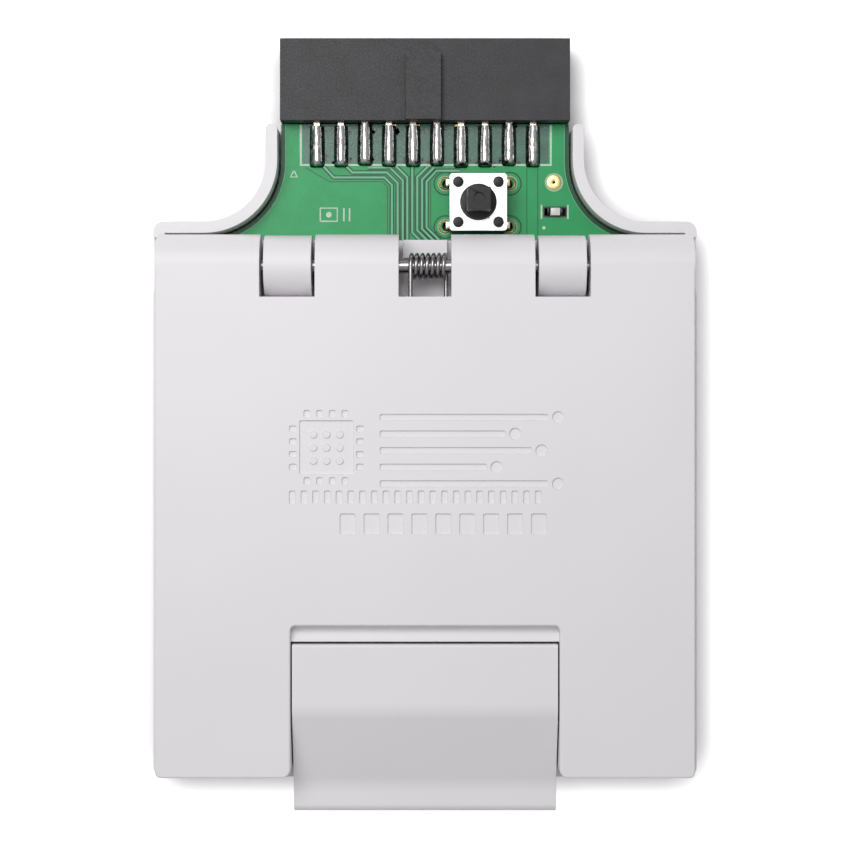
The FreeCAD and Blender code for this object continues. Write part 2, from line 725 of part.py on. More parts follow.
def make_circuit_board():
    body = new_body("circuit_board")
    inset = d.rimWall + d.boardGap
    pad(body, "laminate", "XY_Plane",
        [inner_outline(inset, d.blockRear + d.boardGap, d.boardEnd)], boardBottom, boardTop)
    hole = pocket(body, "screw_hole", "XY_Plane",
                  [circle(-d.screwX, d.screwFront, d.screwRadius + d.screwGap)], boardBottom, boardTop)
    repeat(body, "screw_holes", [hole], *corners(d.screwX * 2, d.screwRear - d.screwFront))
    leg = pocket(body, "leg_hole", "XY_Plane",
                 [circle(d.switchX - d.legX, d.switchY - d.legY, d.legHole)], boardBottom, boardTop)
    repeat(body, "leg_holes", [leg], *corners(d.legX * 2, d.legY * 2))
    pocket(body, "pad_hole", "XY_Plane", [circle(padPlace, d.padY, d.padHole)], boardBottom, boardTop)


def make_test_pad():
    body = new_body("test_pad")
    pad(body, "ring", "XY_Plane",
        [circle(padPlace, d.padY, d.padRadius), circle(padPlace, d.padY, d.padHole)],
        boardTop, boardTop + d.padThick)


# Header

firstLeadX = -d.headerPitch * (d.headerCount - 1) / 2
upperRow = boardMiddle + d.headerPitch / 2
lowerRow = boardMiddle - d.headerPitch / 2
headerRear = d.headerFront + d.headerLength


def make_header_housing():
    body = new_body("header_housing")
    half = d.headerWidth / 2
    low = boardMiddle - d.headerHeight / 2
    high = boardMiddle + d.headerHeight / 2
    pad(body, "block", "XY_Plane", [rectangle(-half, d.headerFront, half, headerRear)], low, high)
    keyLeft = d.keyCentre - d.keyWidth / 2
    keyRight = d.keyCentre + d.keyWidth / 2
    pad(body, "key", "XY_Plane",
        [[line(keyLeft, d.headerFront), line(keyRight, d.headerFront),
          line(keyRight, d.keyEnd - d.keyCorner), line(keyRight - d.keyCorner, d.keyEnd),
          line(keyLeft + d.keyCorner, d.keyEnd), line(keyLeft, d.keyEnd - d.keyCorner)]],
        high, high + d.keyRise)

    def square(halfX, halfZ):
        return rectangle(firstLeadX - halfX, lowerRow - halfZ, firstLeadX + halfX, lowerRow + halfZ)

    mouthFront = headerRear - d.mouthDepth
    hole = d.tailSize / 2 + d.tailFit
    flare = d.mouthSize / 2 + d.mouthFlare
    steps = [
        pocket(body, "cell", "XZ_Plane", [square(d.cellWidth / 2, d.cellHeight / 2)],
               d.cellFront, mouthFront),
        pocket(body, "mouth", "XZ_Plane", [square(d.mouthSize / 2, d.mouthSize / 2)],
               mouthFront, headerRear),
        pocket(body, "flare", "XZ_Plane", [square(flare, flare)], headerRear - d.mouthFlare, headerRear),
        pocket(body, "tail_hole", "XZ_Plane", [square(hole, hole)], d.headerFront, d.cellFront),
    ]
    steps[2].TaperAngle = -45
    repeat(body, "cells", steps, ("X_Axis", d.headerPitch, d.headerCount), ("Z_Axis", d.headerPitch, 2))


def make_header_contacts(name, height):
    """One row of stamped forks with straight tails that reach over the board."""
    body = new_body(name)
    tail = d.tailSize / 2
    x = firstLeadX
    web = d.cellFront + d.forkWeb
    inner = d.forkHalf - d.forkBeam
    fork = pad(body, "fork", "XY_Plane",
               [[line(x - tail, d.tailStart), line(x + tail, d.tailStart), line(x + tail, d.cellFront),
                 line(x + d.forkHalf, d.cellFront), line(x + d.forkHalf, d.forkRear),
                 line(x + inner, d.forkRear), line(x + inner, web),
                 line(x - inner, web), line(x - inner, d.forkRear),
                 line(x - d.forkHalf, d.forkRear), line(x - d.forkHalf, d.cellFront),
                 line(x - tail, d.cellFront)]],
               height - tail, height + tail)
    repeat(body, "row", [fork], ("X_Axis", d.headerPitch, d.headerCount))


def make_solder_joints(name, face, side):
    """Solder round the tails: face is the board's surface, side is 1 above it and -1 below."""
    body = new_body(name)
    tail = d.tailSize / 2
    radius = d.solderHalf - tail
    rise = radius * side
    seat = (d.headerPitch / 2 - d.boardThick / 2 - tail) * side
    x = firstLeadX
    left = x - d.solderHalf
    right = x + d.solderHalf

    def flanks(inside):
        return [
            line(right, face),
            arc(x + tail, face + rise, right, face + rise, -side),
            *inside,
            line(x - tail, face + rise),
            arc(left, face, left, face + rise, -side),
        ]

    saddle = pad(body, "saddle", "XZ_Plane",
                 [flanks([line(x + tail, face + seat), line(x - tail, face + seat)])],
                 d.tailStart, d.solderEnd)
    nose = pad(body, "nose", "XZ_Plane", [flanks([])], d.tailStart - d.solderNose, d.tailStart)
    repeat(body, "row", [saddle, nose], ("X_Axis", d.headerPitch, d.headerCount))


# Push-button switch

def make_switch_body():
    body = new_body("switch_body")
    half = d.switchSize / 2
    pad(body, "case", "XY_Plane",
        [rounded(d.switchX - half, d.switchY - half, d.switchX + half, d.switchY + half, d.plateCorner)],
        boardTop, switchTop)
    pocket(body, "chamber", "XY_Plane", [circle(d.switchX, d.switchY, half - d.switchWall)],
           boardTop + d.switchFloor, switchTop)
    rivetX = d.switchX - d.rivetPitch / 2
    rivetY = d.switchY - d.rivetPitch / 2
    rivet = [
        pad(body, "rivet_shank", "XY_Plane", [circle(rivetX, rivetY, d.rivetShank)], switchTop, sheetTop),
        pad(body, "rivet_head", "XY_Plane", [circle(rivetX, rivetY, d.rivetRadius)],
            sheetTop, sheetTop + d.rivetRise),
    ]
    repeat(body, "rivets", rivet, *corners(d.rivetPitch, d.rivetPitch))
    for side, name in ((-1, "left"), (1, "right")):
        outside = d.switchX + half * side
        inside = outside - d.legThick * side
        low, high = (outside, inside) if side < 0 else (inside, outside)
        groove = pocket(body, f"leg_groove_{name}", "XY_Plane",
                        [rectangle(low, d.switchY - d.legY - d.legWidth / 2,
                                   high, d.switchY - d.legY + d.legWidth / 2)],
                        boardTop, boardTop + d.legRise)
        repeat(body, f"leg_grooves_{name}", [groove], ("Y_Axis", d.legY * 2, 2))


def make_switch_cover_plate():
    body = new_body("switch_cover_plate")
    half = d.switchSize / 2
    pad(body, "sheet", "XY_Plane",
        [rounded(d.switchX - half, d.switchY - half, d.switchX + half, d.switchY + half, d.plateCorner),
         circle(d.switchX, d.switchY, d.plateHole)],
        switchTop, sheetTop)
    hole = pocket(body, "rivet_hole", "XY_Plane",
                  [circle(d.switchX - d.rivetPitch / 2, d.switchY - d.rivetPitch / 2, d.rivetShank)],
                  switchTop, sheetTop)
    repeat(body, "rivet_holes", [hole], *corners(d.rivetPitch, d.rivetPitch))


def make_switch_plunger():
    body = new_body("switch_plunger")
    half = d.stemSize / 2
    skirtTop = switchTop - d.headGap
    skirtBottom = skirtTop - d.skirtThick
    flangeTop = sheetTop + d.flangeRise
    stemTop = boardTop + d.stemTop
    centre = (d.switchX, d.switchY)
    pad(body, "skirt", "XY_Plane", [circle(*centre, d.skirtRadius)], skirtBottom, skirtTop)
    pad(body, "flange", "XY_Plane", [circle(*centre, d.flangeRadius)], skirtTop, flangeTop)
    ledge = half + d.stemLedge
    pad(body, "ledge", "XY_Plane",
        [rectangle(centre[0] - ledge, centre[1] - ledge, centre[0] + ledge, centre[1] + ledge)],
        flangeTop - d.stemLedge, flangeTop + d.stemLedge)
    pad(body, "stem", "XY_Plane",
        [rectangle(centre[0] - half, centre[1] - half, centre[0] + half, centre[1] + half)],
        flangeTop, stemTop)
    pocket(body, "dimple", "XY_Plane", [circle(*centre, d.dimpleRadius)], stemTop - d.dimpleDepth, stemTop)


def make_switch_dome():
    """Thin snap dome, its rim on the switch's floor just under the plunger's skirt."""
    body = new_body("switch_dome")
    crown = switchTop - d.headGap - d.skirtThick - d.switchTravel - d.headGap
    rim = crown - d.domeRise
    turned(body, "dome",
           [line(ZERO, crown - d.domeSheet), line(d.domeRadius, rim - d.domeSheet),
            line(d.domeRadius, rim), line(ZERO, crown)],
           d.switchX, d.switchY)
    pad(body, "rim", "XY_Plane",
        [circle(d.switchX, d.switchY, d.domeRadius),
         circle(d.switchX, d.switchY, d.domeRadius - d.domeRim)],
        boardTop + d.switchFloor, rim)


def make_switch_terminals():
    """Four legs: out of the case, down through the board."""
    body = new_body("switch_terminals")
    half = d.switchSize / 2
    bottom = boardBottom - d.legTail
    bend = boardTop + d.legRise
    legs = []
    y = d.switchY - d.legY
    for side, name in ((-1, "left"), (1, "right")):
        inner = d.switchX + (half - d.legThick) * side
        middle = d.switchX + (d.legX - d.legThick / 2) * side
        outer = d.switchX + (d.legX + d.legThick / 2) * side
        legs.append(pad(body, f"leg_{name}", "XZ_Plane",
                        [[line(inner, bend - d.legThick), line(middle, bend - d.legThick),
                          line(middle, bottom), line(outer, bottom), line(outer, bend),
                          line(inner, bend)]],
                        y - d.legWidth / 2, y + d.legWidth / 2))
    repeat(body, "legs", legs, ("Y_Axis", d.legY * 2, 2))


# Indicator light

def make_light():
    halfLength = d.lightLength / 2
    halfWidth = d.lightWidth / 2
    top = boardTop + d.lightRise
    inner = halfLength - d.capLength
    body = new_body("led_body")
    pad(body, "chip", "XY_Plane",
        [rectangle(lightPlace - inner, d.lightY - halfWidth, lightPlace + inner, d.lightY + halfWidth)],
        boardTop, top)
    body = new_body("led_lens")
    lens = d.lensLength / 2
    pad(body, "lens", "XY_Plane",
        [rectangle(lightPlace - lens, d.lightY - halfWidth, lightPlace + lens, d.lightY + halfWidth)],
        top, top + d.lensRise)
    body = new_body("led_terminals")
    left = [line(lightPlace - halfLength - d.capReach, boardTop), line(lightPlace - inner, boardTop),
            line(lightPlace - inner, top), line(lightPlace - halfLength, top)]
    right = [line(lightPlace + inner, boardTop), line(lightPlace + halfLength + d.capReach, boardTop),
             line(lightPlace + halfLength, top), line(lightPlace + inner, top)]
    pad(body, "caps", "XZ_Plane", [left, right], d.lightY - halfWidth, d.lightY + halfWidth)


# Lid and hinge

def make_lid():
    body = new_body("lid")
    corner = d.lidCorner
    side = lidHalf - corner
    lip = d.notchCorner
    fillet = d.notchFillet
    outline = [
        arc(-side, d.lidFront, -side, d.lidFront + corner, 1),
        line(-notchHalf - lip, d.lidFront),
        arc(-notchHalf, d.lidFront + lip, -notchHalf - lip, d.lidFront + lip, 1),
        line(-notchHalf, d.notchRear - fillet),
        arc(-notchHalf + fillet, d.notchRear, -notchHalf + fillet, d.notchRear - fillet, -1),
        line(notchHalf - fillet, d.notchRear),
        arc(notchHalf, d.notchRear - fillet, notchHalf - fillet, d.notchRear - fillet, -1),
        line(notchHalf, d.lidFront + lip),
        arc(notchHalf + lip, d.lidFront, notchHalf + lip, d.lidFront + lip, 1),
        line(side, d.lidFront),
        arc(lidHalf, d.lidFront + corner, side, d.lidFront + corner, 1),
        line(lidHalf, d.hingeY),
        line(-lidHalf, d.hingeY),
        line(-lidHalf, d.lidFront + corner),
    ]
    slab = pad(body, "slab", "XY_Plane", [outline], lidBottom, lidTop)
    doc.recompute()
    rim = edges_where(slab, lambda p: near(p.z, lidTop.value) and not near(p.y, d.hingeY.value))
    dress(body, "upper_edge", "PartDesign::Fillet", slab, rim, "Radius", d.lidEdge)
    pad(body, "notch_floor", "XY_Plane",
        [rectangle(-notchHalf - fillet, d.floorFront, notchHalf + fillet, d.notchRear + fillet)],
        lidBottom, floorTop)
    pad(body, "knuckles", "YZ_Plane", [circle(d.hingeY, hingeZ, d.lidRadius)], -lidHalf, lidHalf)
    behind = d.hingeY + d.lidRadius + d.beyond
    below = hingeZ - d.lidRadius - d.beyond
    slots = [
        rectangle(-d.standCentre - slotHalf, slotFront, -d.standCentre + slotHalf, behind),
        rectangle(d.standCentre - slotHalf, slotFront, d.standCentre + slotHalf, behind),
        rectangle(-springHalf, slotFront, springHalf, behind),
    ]
    pocket(body, "hinge_slots", "XY_Plane", slots, below, lidTop + d.beyond)
    half = chamberHalf
    pocket(body, "chamber", "XY_Plane",
           [rounded(-half, d.socketY - half, half, d.socketY + half, d.chamberCorner)],
           lidBottom, roofBottom)
    pocket(body, "leg_channel", "XY_Plane",
           [rectangle(-springHalf, d.socketY + plateHalf, springHalf, slotFront + d.slotGap)],
           lidBottom, lidTop - d.channelRoof)
    across = lidHalf + d.beyond
    pocket(body, "hinge_bore", "YZ_Plane", [circle(d.hingeY, hingeZ, pinBore)], -across, across)
    pocket(body, "latch_bore", "YZ_Plane", [circle(d.pivotY, pivotZ, pinBore)], -across, across)
    place = (-plateScrewX, d.socketY - plateScrewX)
    hole = pocket(body, "plate_screw_core", "XY_Plane", [circle(*place, d.plateScrewBody)],
                  roofBottom, roofBottom + d.plateScrewBite)
    repeat(body, "plate_screw_cores", [hole], *corners(plateScrewX * 2, plateScrewX * 2))


def make_pin(name, y, z, half):
    body = new_body(name)
    pad(body, "rod", "YZ_Plane", [circle(y, z, d.pinRadius)], -half, half)


def make_hinge_spring():
    """Torsion spring on the hinge pin: one leg off the top of the coil, one off its bottom."""
    upright = Rotation(Vector(0, 0, 1), Vector(0, -1, 0), Vector(1, 0, 0), "XYZ")
    spine = doc.addObject("Part::Helix", "spring_spine")
    spine.LocalCoord = "Left-handed"
    spine.setExpression("Pitch", d.springPitch.text)
    spine.setExpression("Height", (d.springPitch * d.springTurns).text)
    spine.setExpression("Radius", d.springRadius.text)
    spine.Placement = Placement(Vector(), upright)
    spine.setExpression("Placement.Base.x", d.springStart.text)
    spine.setExpression("Placement.Base.y", d.hingeY.text)
    spine.setExpression("Placement.Base.z", hingeZ.text)
    wire = doc.addObject("Part::RegularPolygon", "spring_section")
    wire.Polygon = WIRE_SIDES
    wire.setExpression("Circumradius", (d.springWire / 2).text)
    wire.Placement = Placement(Vector(), Rotation(Vector(1, 0, 0), 90))
    wire.setExpression("Placement.Base.x", d.springStart.text)
    wire.setExpression("Placement.Base.y", d.hingeY.text)
    wire.setExpression("Placement.Base.z", (hingeZ + d.springRadius).text)
    coil = doc.addObject("Part::Sweep", "spring_coil")
    coil.Sections = [wire]
    coil.Spine = spine
    coil.Solid = True
    coil.Frenet = True
    legs = []
    ends = [("top", d.springStart, hingeZ + d.springRadius),
            ("bottom", d.springStart + d.springPitch * d.springTurns, hingeZ - d.springRadius)]
    for name, x, z in ends:
        leg = doc.addObject("Part::Prism", f"spring_leg_{name}")
        leg.Polygon = WIRE_SIDES
        leg.setExpression("Circumradius", (d.springWire / 2).text)
        leg.setExpression("Height", d.springLeg.text)
        leg.Placement = Placement(Vector(), Rotation(Vector(1, 0, 0), 90))
        leg.setExpression("Placement.Base.x", x.text)
        leg.setExpression("Placement.Base.y", d.hingeY.text)
        leg.setExpression("Placement.Base.z", z.text)
        legs.append(leg)
    spring = doc.addObject("Part::MultiFuse", "hinge_spring")
    spring.Shapes = [coil] + legs
    pieces.append(spring)


# Latch

def latch_profile():
    """Side view of the lever: flat tail, convex bend, slope, concave bend and a round-ended lip."""
    top = lidTop - d.latchDrop
    tailBottom = top - d.tailThick
    lipTop = top - d.lipDrop
    lipBottom = lipTop - d.lipThick
    lift = as_size(1) - cosine(d.slopeAngle)
    crestEndY = d.crestY - d.crestRadius * sine(d.slopeAngle)
    crestEndZ = top - d.crestRadius * lift
    lipStartZ = lipTop + d.lipRadius * lift
    run = (crestEndZ - lipStartZ) * cosine(d.slopeAngle) / sine(d.slopeAngle)
    lipStartY = crestEndY - run
    lipFlatY = lipStartY - d.lipRadius * sine(d.slopeAngle)
    lipRound = d.lipThick / 2
    edge = d.tailEdge
    heel = d.pivotY + d.heelRear
    return [
        line(d.tailRear, tailBottom),
        line(d.tailRear, top - edge),
        arc(d.tailRear - edge, top, d.tailRear - edge, top - edge, 1),
        line(d.crestY, top),
        arc(crestEndY, crestEndZ, d.crestY, top - d.crestRadius, 1),
        line(lipStartY, lipStartZ),
        arc(lipFlatY, lipTop, lipFlatY, lipTop + d.lipRadius, -1),
        line(d.lipEnd + lipRound, lipTop),
        arc(d.lipEnd + lipRound, lipBottom, d.lipEnd + lipRound, lipTop - lipRound, 1),
        line(d.pivotY, lipBottom),
        line(heel, lipBottom + d.heelRise),
        line(heel + d.heelSlope, tailBottom),
    ]


def make_latch():
    body = new_body("latch")
    half = notchHalf - d.latchSide
    pad(body, "lever", "YZ_Plane", [latch_profile()], -half, half)
    rear = d.pivotY - d.hookBack
    front = rear - d.hookThick
    toeTop = rimTop - d.ledgeThick - d.toeGap
    toeBottom = toeTop - d.toeHeight
    tip = rear + d.toeReach
    hook = [
        line(front, lidBottom + d.lipThick),
        line(front, toeBottom),
        line(tip - d.toeBevel, toeBottom),
        line(tip, toeBottom + d.toeBevel),
        line(tip, toeTop),
        line(rear, toeTop),
        line(rear, lidBottom + d.lipThick),
    ]
    pad(body, "hook", "YZ_Plane", [hook], -d.hookWidth / 2, d.hookWidth / 2)
    pocket(body, "pin_bore", "YZ_Plane", [circle(d.pivotY, pivotZ, pinBore)],
           -half - d.beyond, half + d.beyond)


def make_springs(name, x, y, low, high, *rows):
    """Small upright coils in rows, from a first place at x, y."""
    body = new_body(name)
    sketch = sketch_on(body, "wire", "XZ_Plane",
                       [rectangle(d.smallCoil - d.smallWire / 2, low,
                                  d.smallCoil + d.smallWire / 2, low + d.smallWire)],
                       -as_size(y), as_size(x))
    coil = body.newObject("PartDesign::AdditiveHelix", "coil")
    coil.Profile = sketch
    coil.ReferenceAxis = (sketch, ["V_Axis"])
    coil.Mode = "height-turns-angle"
    coil.setExpression("Height", (high - low - d.smallWire).text)
    coil.setExpression("Turns", d.smallTurns.text)
    body.Tip = coil
    repeat(body, "coils", [coil], *rows)


# Pressure plate in the lid

def make_pressure_plate():
    body = new_body("pressure_plate")
    pad(body, "flange", "XY_Plane",
        [rounded(-plateHalf, d.socketY - plateHalf, plateHalf, d.socketY + plateHalf,
                 d.chamberCorner - d.plateGap)],
        plateBottom, plateTop)
    padX = chipHalfWidth - d.padInset
    padY = chipHalfLength - d.padInset
    pad(body, "pad", "XY_Plane",
        [rounded(-padX, d.socketY - padY, padX, d.socketY + padY, d.windowCorner)],
        padBottom, plateBottom)
    hole = pocket(body, "screw_hole", "XY_Plane",
                  [circle(-plateScrewX, d.socketY - plateScrewX, d.plateScrewBody + d.plateScrewGap)],
                  plateBottom, plateTop)
    repeat(body, "screw_holes", [hole], *corners(plateScrewX * 2, plateScrewX * 2))
    seatRadius = d.smallCoil + d.smallWire / 2 + d.springSide
    seat = pocket(body, "spring_seat", "XY_Plane",
                  [circle(-plateSpringX, d.socketY - plateSpringY, seatRadius)],
                  plateTop - d.plateSpringSeat, plateTop)
    repeat(body, "spring_seats", [seat], *corners(plateSpringX * 2, plateSpringY * 2))


def make_pressure_screws():
    body = new_body("pressure_screws")
    headTop = plateBottom - d.headGap
    headBottom = headTop - d.plateScrewRim
    top = roofBottom + d.plateScrewBite
    screw = turned(body, "screw",
                   [line(ZERO, headBottom), line(d.plateScrewHead, headBottom),
                    line(d.plateScrewHead, headTop), line(d.plateScrewBody, headTop),
                    line(d.plateScrewBody, top), line(ZERO, top)],
                   -plateScrewX, d.socketY - plateScrewX)
    repeat(body, "screws", [screw], *corners(plateScrewX * 2, plateScrewX * 2))


# Socket on the board

def contact_groups():
    """X of the first pin in the left and in the right group."""
    outermost = chipHalfWidth - d.groupBorder
    innermost = outermost - d.ballPitch * (d.pinsAcross - 1)
    return (("left", -outermost), ("right", innermost))


def pin_rows():
    """Rows of pins in one group."""
    return ("X_Axis", d.ballPitch, d.pinsAcross), ("Y_Axis", d.ballPitch, d.pinsAlong)


firstPinY = d.socketY - d.ballPitch * (d.pinsAlong - 1) / 2
guideSpringPlace = (-guideSpringX, d.socketY - guideSpringY)
guideScrewPlace = (-guideScrewX, d.socketY - guideScrewX)


def make_contact_block():
    body = new_body("contact_block")
    pad(body, "block", "XY_Plane",
        [rounded(-blockHalf, d.socketY - blockHalf, blockHalf, d.socketY + blockHalf, d.windowCorner)],
        boardTop, blockTop)
    side = d.contactSize / 2 + d.contactGap
    for name, x in contact_groups():
        hole = pocket(body, f"pin_hole_{name}", "XY_Plane",
                      [rectangle(x - side, firstPinY - side, x + side, firstPinY + side)],
                      boardTop, blockTop)
        repeat(body, f"pin_holes_{name}", [hole], *pin_rows())
    seatRadius = d.smallCoil + d.smallWire / 2 + d.springSide
    seat = pocket(body, "spring_pocket", "XY_Plane", [circle(*guideSpringPlace, seatRadius)],
                  blockTop - d.springPocket, blockTop)
    repeat(body, "spring_pockets", [seat], *corners(guideSpringX * 2, guideSpringY * 2))
    core = pocket(body, "screw_core", "XY_Plane", [circle(*guideScrewPlace, d.guideScrewCore)],
                  boardTop + d.contactFoot, blockTop)
    repeat(body, "screw_cores", [core], *corners(guideScrewX * 2, guideScrewX * 2))


def make_contact_pins():
    body = new_body("contact_pins")
    foot = boardTop + d.contactFoot
    tip = pocketFloor + d.contactRise
    shoulder = tip - d.contactBevel
    half = d.contactSize / 2
    point = d.contactTip / 2
    for name, x in contact_groups():
        pin = pad(body, f"pin_{name}", "XZ_Plane",
                  [[line(x - half, foot), line(x + half, foot), line(x + half, shoulder),
                    line(x + point, tip), line(x - point, tip), line(x - half, shoulder)]],
                  firstPinY - half, firstPinY + half)
        repeat(body, f"pins_{name}", [pin], *pin_rows())


def make_chip_guide():
    body = new_body("chip_guide")
    half = windowHalf - d.guideGap
    pad(body, "plate", "XY_Plane",
        [rounded(-half, d.socketY - half, half, d.socketY + half, d.windowCorner)],
        guideBottom, guideTop)
    wide = chipHalfWidth + d.chipGap
    long = chipHalfLength + d.chipGap
    chipPocket = pocket(body, "chip_pocket", "XY_Plane",
                        [rectangle(-wide, d.socketY - long, wide, d.socketY + long)],
                        pocketFloor, guideTop)
    doc.recompute()
    mouth = edges_where(chipPocket, lambda p: near(p.z, guideTop.value) and near(abs(p.x), wide.value))
    dress(body, "lead_in", "PartDesign::Chamfer", chipPocket, mouth, "Size", d.leadIn)
    pocket(body, "contact_window", "XY_Plane",
           [rectangle(-wide + d.ledge, d.socketY - long + d.ledge,
                      wide - d.ledge, d.socketY + long - d.ledge)],
           guideBottom, pocketFloor)
    shoulder = d.guideScrewBody + d.screwGap
    recess = d.guideScrewHead + d.screwGap
    step = guideTop - d.headGap - d.guideScrewRim - d.headGap
    bore = turned(body, "screw_bore",
                  [line(ZERO, guideBottom), line(shoulder, guideBottom), line(shoulder, step),
                   line(recess, step), line(recess, guideTop), line(ZERO, guideTop)],
                  *guideScrewPlace, "PartDesign::Groove")
    repeat(body, "screw_bores", [bore], *corners(guideScrewX * 2, guideScrewX * 2))


def make_guide_screws():
    body = new_body("guide_screws")
    headTop = guideTop - d.headGap
    headBottom = headTop - d.guideScrewRim
    screw = turned(body, "screw",
                   [line(ZERO, boardTop + d.contactFoot), line(d.guideScrewCore, boardTop + d.contactFoot),
                    line(d.guideScrewCore, blockTop), line(d.guideScrewBody, blockTop),
                    line(d.guideScrewBody, headBottom), line(d.guideScrewHead, headBottom),
                    line(d.guideScrewHead, headTop), line(ZERO, headTop)],
                   *guideScrewPlace)
    repeat(body, "screws", [screw], *corners(guideScrewX * 2, guideScrewX * 2))


make_base_frame()
make_bottom_cover()
make_cover_screws()
make_circuit_board()
make_test_pad()
make_header_housing()
make_header_contacts("header_contacts_top", upperRow)
make_header_contacts("header_contacts_bottom", lowerRow)
make_solder_joints("solder_joints_top", boardTop, 1)
make_solder_joints("solder_joints_bottom", boardBottom, -1)
make_switch_body()
make_switch_cover_plate()
make_switch_plunger()
make_switch_dome()
make_switch_terminals()
make_light()
make_lid()
make_pin("hinge_pin", d.hingeY, hingeZ, lidHalf - d.pinInset)
make_hinge_spring()
make_latch()
make_pin("latch_pin", d.pivotY, pivotZ, lidHalf - d.pinInset)
latchTop = lidTop - d.latchDrop
make_springs("latch_springs", -d.latchSpringX, d.latchSpringY, floorTop,
             latchTop - d.tailThick - d.latchTravel, ("X_Axis", d.latchSpringX * 2, 2))
make_pressure_plate()
make_springs("pressure_springs", -plateSpringX, d.socketY - plateSpringY, plateTop - d.plateSpringSeat,
             roofBottom - d.plateTravel, *corners(plateSpringX * 2, plateSpringY * 2))
make_pressure_screws()
make_contact_block()
make_contact_pins()
make_chip_guide()
make_springs("guide_springs", *guideSpringPlace, blockTop - d.springPocket, guideBottom - d.guideTravel,
             *corners(guideSpringX * 2, guideSpringY * 2))
make_guide_screws()
doc.recompute()

for feature in doc.Objects:
    if "Invalid" in feature.State or "Error" in feature.State:
        raise RuntimeError(f"{feature.Name} failed: {feature.State}")
for feature in cuts:
    if feature.BaseFeature.Shape.Volume - feature.Shape.Volume < LEAST_CUT:
        raise RuntimeError(f"{feature.Name} cuts nothing")
for piece in pieces:
    if piece.Shape.isNull() or not piece.Shape.isValid():
        raise RuntimeError(f"{piece.Label} has no valid shape")
    piece.Shape.exportStep(f"parts/{piece.Label}.step")
    box = piece.Shape.BoundBox
    print(f"{piece.Label}: {len(piece.Shape.Solids)} solids, {piece.Shape.Volume:.2f} mm3, "
          f"X {box.XMin:.2f}..{box.XMax:.2f} Y {box.YMin:.2f}..{box.YMax:.2f} "
          f"Z {box.ZMin:.2f}..{box.ZMax:.2f}")
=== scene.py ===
import math
import random

import bmesh
import bpy
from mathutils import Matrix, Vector


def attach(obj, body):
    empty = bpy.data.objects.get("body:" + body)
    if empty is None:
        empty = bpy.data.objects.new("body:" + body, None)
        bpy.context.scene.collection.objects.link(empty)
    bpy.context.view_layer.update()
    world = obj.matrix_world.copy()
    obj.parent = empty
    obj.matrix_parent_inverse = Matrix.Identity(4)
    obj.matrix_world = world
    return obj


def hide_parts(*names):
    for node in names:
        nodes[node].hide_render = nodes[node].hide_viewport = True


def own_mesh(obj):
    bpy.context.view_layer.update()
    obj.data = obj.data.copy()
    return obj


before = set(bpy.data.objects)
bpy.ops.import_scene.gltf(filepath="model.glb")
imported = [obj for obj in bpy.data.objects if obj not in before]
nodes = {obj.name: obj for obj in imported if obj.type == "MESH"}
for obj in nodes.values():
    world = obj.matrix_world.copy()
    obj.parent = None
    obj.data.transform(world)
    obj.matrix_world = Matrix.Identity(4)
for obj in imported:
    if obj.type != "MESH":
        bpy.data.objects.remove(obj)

mm = 0.001
scene = bpy.context.scene
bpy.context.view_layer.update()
print("adapter: frame loaded,", len(nodes), "nodes")


# camera, lamps and floor

cameraLook = {"height": 229.6 * mm, "shownWidth": 90.14 * mm, "shownAt": 225 * mm, "sensor": 36}
lampLook = {"place": (-0.06, 0.09, 0.22), "size": 0.16, "power": 0.36, "warmth": (1.0, 0.985, 0.98)}
skyLook = {"overhead": 0.52, "low": 0.14, "riseEnd": 0.8, "horizon": 1.0, "band": (0.12, 0.22),
           "tint": (1.0, 0.99, 1.0)}
floorLook = {"size": 40.0, "colour": 0.85, "glow": 0.8, "contact": 3.5 * mm, "depth": 4.0, "drop": 0.02 * mm}


def addNode(tree, kind, inputs=None, **settings):
    node = tree.nodes.new(kind)
    for name, value in settings.items():
        setattr(node, name, value)
    for name, value in (inputs or {}).items():
        if isinstance(value, bpy.types.NodeSocket):
            tree.links.new(value, node.inputs[name])
        else:
            node.inputs[name].default_value = value
    return node


def link(tree, source, node, name):
    tree.links.new(source, node.inputs[name])


def makeCamera(look):
    data = bpy.data.cameras.new("camera")
    data.sensor_width = look["sensor"]
    data.lens = look["sensor"] * look["shownAt"] / look["shownWidth"]
    data.clip_start = 0.01
    camera = bpy.data.objects.new("camera", data)
    camera.location = (0, 0, look["height"])
    scene.collection.objects.link(camera)
    scene.camera = camera


def seenDirectly(tree):
    # 1 for camera, glossy and transmission rays
    path = addNode(tree, "ShaderNodeLightPath")
    total = path.outputs["Is Camera Ray"]
    for ray in ("Is Glossy Ray", "Is Transmission Ray"):
        total = addNode(tree, "ShaderNodeMath", {0: total, 1: path.outputs[ray]},
                        operation="ADD", use_clamp=True).outputs[0]
    return total


